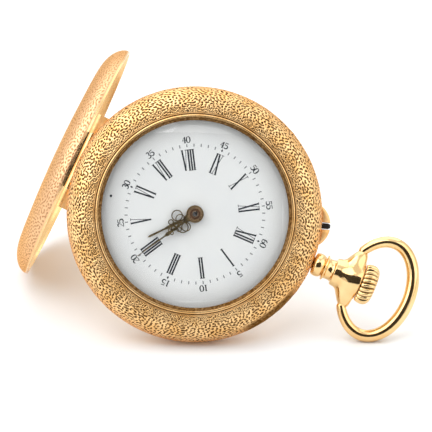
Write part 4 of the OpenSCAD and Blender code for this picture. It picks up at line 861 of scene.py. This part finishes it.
def roman(ink, text, clock, low, high):
    """A Roman numeral with its feet to the centre."""
    total = sum(ROMAN_WIDE[c] for c in text)
    place, u = dial_place(clock, 0), -total / 2
    for c in text:
        w = ROMAN_WIDE[c]
        m = u + w / 2
        left, right = m - w / 2 + 0.13, m + w / 2 - 0.13
        if c == "I":
            bar(ink, place, m, low, m, high, THICK)
            feet = [(m, low), (m, high)]
        elif c == "V":
            bar(ink, place, left, high, m + 0.01, low, THICK)
            bar(ink, place, m + w / 2 - 0.1, high, m + 0.02, low, THIN)
            feet = [(left, high), (m + w / 2 - 0.1, high)]
        else:
            thin_left, thin_right = m - w / 2 + 0.12, m + w / 2 - 0.12
            bar(ink, place, left, high, right, low, THICK)
            bar(ink, place, thin_right, high, thin_left, low, THIN)
            feet = [(left, high), (thin_right, high), (thin_left, low), (right, low)]
        for x, v in feet:
            bar(ink, place, x, v - SERIF / 2, x, v + SERIF / 2, SERIF_WIDE)
        u += w


def arc(cx, cy, rx, ry, start, end, count):
    angles = np.radians(np.linspace(start, end, count))
    return [(cx + rx * math.cos(a), cy + ry * math.sin(a)) for a in angles]


def swelling(count, thin, thick):
    """Widths of a stroke that is thin at its ends and thick between them."""
    return thin + (thick - thin) * np.sin(np.linspace(0, math.pi, count))


def digit(ink, c, place):
    """A printed digit about 0.75 high and 0.5 wide, centred at the place."""
    w, h, thick, thin = DIGIT_W, DIGIT_H, DIGIT_THICK, DIGIT_THIN
    if c == "0":
        sides = np.abs(np.sin(np.linspace(0, 2 * math.pi, 29)))
        ink.ribbon(arc(0, 0, w, h, 90, 450, 29), thin + (thick - thin) * sides, place)
    elif c == "1":
        bar(ink, place, 0, -h, 0, h, thick)
        bar(ink, place, 0, -h - thin / 2, 0, -h + thin / 2, SERIF_WIDE)
        ink.ribbon([(0.0, h), (-0.14, h - 0.12)], thin, place)
    elif c == "2":
        top, foot = arc(0, h - 0.18, w - 0.02, 0.18, 160, -30, 12), -h + 0.05
        ink.ribbon(top + [(-w, foot)], np.append(swelling(12, thin, thick), thin), place)
        ink.ribbon([(-w, foot), (0.0, foot), (w, -h + 0.02), (w, -h + 0.14)], [thin, 0.1, 0.1, thin], place)
    elif c == "3":
        ink.ribbon(arc(-0.02, h - 0.17, w - 0.04, 0.17, 150, -90, 12), swelling(12, thin, thick), place)
        ink.ribbon(arc(-0.02, -h + 0.19, w, 0.19, 90, -150, 13), swelling(13, thin, thick), place)
    elif c == "4":
        bar(ink, place, 0.08, -h, 0.08, h, thick)
        ink.ribbon([(0.08, h), (-w, -0.1)], thin, place)
        ink.ribbon([(-w - 0.03, -0.1), (w + 0.02, -0.1)], thin, place)
        bar(ink, place, 0.08, -h - thin / 2, 0.08, -h + thin / 2, 0.26)
    elif c == "5":
        ink.ribbon([(-w + 0.04, h - 0.03), (w - 0.02, h - 0.03)], 0.09, place)
        ink.ribbon([(-w + 0.05, h), (-w + 0.05, 0.02)], thin, place)
        ink.ribbon(arc(-0.04, -0.12, w + 0.02, 0.22, 110, -150, 14), swelling(14, thin, thick), place)
    else:
        sides = np.abs(np.cos(np.linspace(0, 2 * math.pi, 20)))
        ink.ribbon(arc(0.02, -0.02, w, h, 75, 230, 14), swelling(14, thin, thick), place)
        ink.ribbon(arc(0, -0.14, w - 0.02, 0.2, -180, 180, 20), thin + (thick - thin) * sides * 0.8, place)


print_black, print_grey = Strokes(), Strokes()
for k, text in enumerate(ROMANS):
    roman(print_black, text, 30 * k, ROMAN_LOW, ROMAN_HIGH)
for k in range(60):
    place = dial_place(6 * k, MARK_R)
    if k % 15:
        bar(print_grey, place, 0, -MARK_HALF, 0, MARK_HALF, MARK_WIDE)
    else:
        print_black.prism([place(0, -0.2), place(0.13, 0), place(0, 0.2), place(-0.13, 0)])
for k in range(1, 13):
    text = str(5 * k)
    for i, c in enumerate(text):
        place = dial_place(30 * k, DIGIT_R)
        shift = (i - (len(text) - 1) / 2) * DIGIT_APART
        digit(print_black, c, lambda u, v, shift=shift, place=place: place(u + shift, v))

# A speck of dirt near the edge
speck = dial_place(169, 10.75)
print_black.prism([speck(x, y) for x, y in arc(0, 0, 0.18, 0.15, 0, 324, 10)])

PRINTS = {"dial_numerals": (print_black, "dial_paint"), "dial_minute_marks": (print_grey, "dial_grey")}
for name, (ink, look) in PRINTS.items():
    add_mesh(name, ink.points, ink.faces, look, "case", smooth=False)

# Camera, as in the photograph

FACE_X, FACE_Y, PENDANT_DROP = math.radians(-1.05), math.radians(1.65), math.radians(22.2)
CAMERA_FAR, LENS, SENSOR = 342.6, 228.12, 36.0
look_to = math.sin(FACE_X) * AXES[0] + math.sin(FACE_Y) * AXES[1]
look_to = look_to - math.cos(math.hypot(FACE_X, FACE_Y)) * AXES[2]
look_to /= np.linalg.norm(look_to)
right = math.cos(PENDANT_DROP) * AXES[1] - math.sin(PENDANT_DROP) * AXES[0]
right -= right @ look_to * look_to
right /= np.linalg.norm(right)
up = np.cross(right, look_to)
camera_data = bpy.data.cameras.new("camera")
camera_data.lens, camera_data.sensor_width = LENS, SENSOR
camera_data.shift_x, camera_data.shift_y = 0.0498, -0.0042
camera_data.clip_start, camera_data.clip_end = 0.01, 20.0
camera = bpy.data.objects.new("camera", camera_data)
bpy.context.scene.collection.objects.link(camera)
eye = (CENTRE - look_to * CAMERA_FAR) / MM
camera.matrix_world = Matrix([(right[k], up[k], -look_to[k], eye[k]) for k in range(3)] + [(0, 0, 0, 1)])
bpy.context.scene.camera = camera

# Studio: a pale floor, soft lamps, a dark card and a plain bright room


def lamp(name, at, size, power):
    """A soft square lamp that looks at the watch."""
    data = bpy.data.lights.new(name, "AREA")
    data.energy, data.size = power, size
    obj = bpy.data.objects.new(name, data)
    bpy.context.scene.collection.objects.link(obj)
    obj.location = at
    aim = np.array([0.0, -0.005, 0.012]) - np.array(at)
    obj.rotation_mode = "QUATERNION"
    obj.rotation_quaternion = Vector(aim).to_track_quat("-Z", "Y")


def sheet(name, finish, corners, grain, tones, rough):
    """A flat square of the studio, whose tone wanders between two colours."""
    n = Nodes(finish)
    tone = n.mix(n.ramp(n.noise(grain, 3.0), 0.3, 0.7), *tones)
    mesh = bpy.data.meshes.new(name)
    mesh.from_pydata(corners, [], [(0, 1, 2, 3)])
    mesh.materials.append(n.done(n.principled(base_color=tone, roughness=rough)))
    obj = bpy.data.objects.new(name, mesh)
    bpy.context.scene.collection.objects.link(obj)
    return obj


def bright_room():
    """A bright world, dimmer on the -y side, and white where it is seen, mirrored or seen through glass."""
    world = bpy.data.worlds.new("room")
    world.use_nodes = True
    tree = world.node_tree
    tree.nodes.clear()
    new, link = tree.nodes.new, tree.links.new
    facing = new("ShaderNodeVectorMath")
    facing.operation = "DOT_PRODUCT"
    facing.inputs[1].default_value = (0.0, -1.0, 0.0)
    link(new("ShaderNodeTexCoord").outputs["Generated"], facing.inputs[0])
    shade = new("ShaderNodeMapRange")
    shade.interpolation_type = "SMOOTHSTEP"
    for key, value in (("From Min", 0.0), ("From Max", 0.9), ("To Min", 0.95), ("To Max", 0.45)):
        shade.inputs[key].default_value = value
    link(facing.outputs["Value"], shade.inputs["Value"])
    path = new("ShaderNodeLightPath")
    seen = path.outputs["Is Camera Ray"]
    for ray in ("Is Transmission Ray", "Is Glossy Ray"):
        either = new("ShaderNodeMath")
        either.operation = "MAXIMUM"
        link(seen, either.inputs[0])
        link(path.outputs[ray], either.inputs[1])
        seen = either.outputs[0]
    blend = new("ShaderNodeMix")
    blend.data_type = "FLOAT"
    link(seen, blend.inputs[0])
    link(shade.outputs["Result"], blend.inputs[2])
    blend.inputs[3].default_value = 1.0
    background = new("ShaderNodeBackground")
    background.inputs["Color"].default_value = (1, 1, 1, 1)
    link(blend.outputs[0], background.inputs["Strength"])
    link(background.outputs[0], new("ShaderNodeOutputWorld").inputs["Surface"])
    return world


lamp("key", (-0.55, -0.35, 0.75), 1.3, 9.0)
lamp("fill", (0.70, -0.45, 0.55), 0.90, 2.2)
lamp("top", (0.05, 0.45, 0.80), 1.0, 3.0)

SQUARE = ((-1, -1), (1, -1), (1, 1), (-1, 1))
FLOOR_HALF, FLOOR_Z = 3, -1e-5
floor_corners = [(FLOOR_HALF * u, FLOOR_HALF * v, FLOOR_Z) for u, v in SQUARE]
PAPER = ((0.87, 0.885, 0.90), (0.89, 0.905, 0.92))
floor = sheet("floor", "floor_paper", floor_corners, 0.02, PAPER, 0.6)

# The card stands behind the camera, and polished metal mirrors it as the dim room of the photograph
CARD_FAR, CARD_WIDE, CARD_TALL = 0.5, 0.27, 0.22
card_at = CENTRE / MM - look_to * CARD_FAR
card_corners = [(card_at + right * CARD_WIDE * u + up * CARD_TALL * v).tolist() for u, v in SQUARE]
DIM = ((0.02, 0.016, 0.013), (0.035, 0.03, 0.025))
card = sheet("card", "card_dark", card_corners, 0.01, DIM, 0.8)

bpy.context.scene.world = bright_room()
bpy.context.scene.view_settings.view_transform = "Standard"
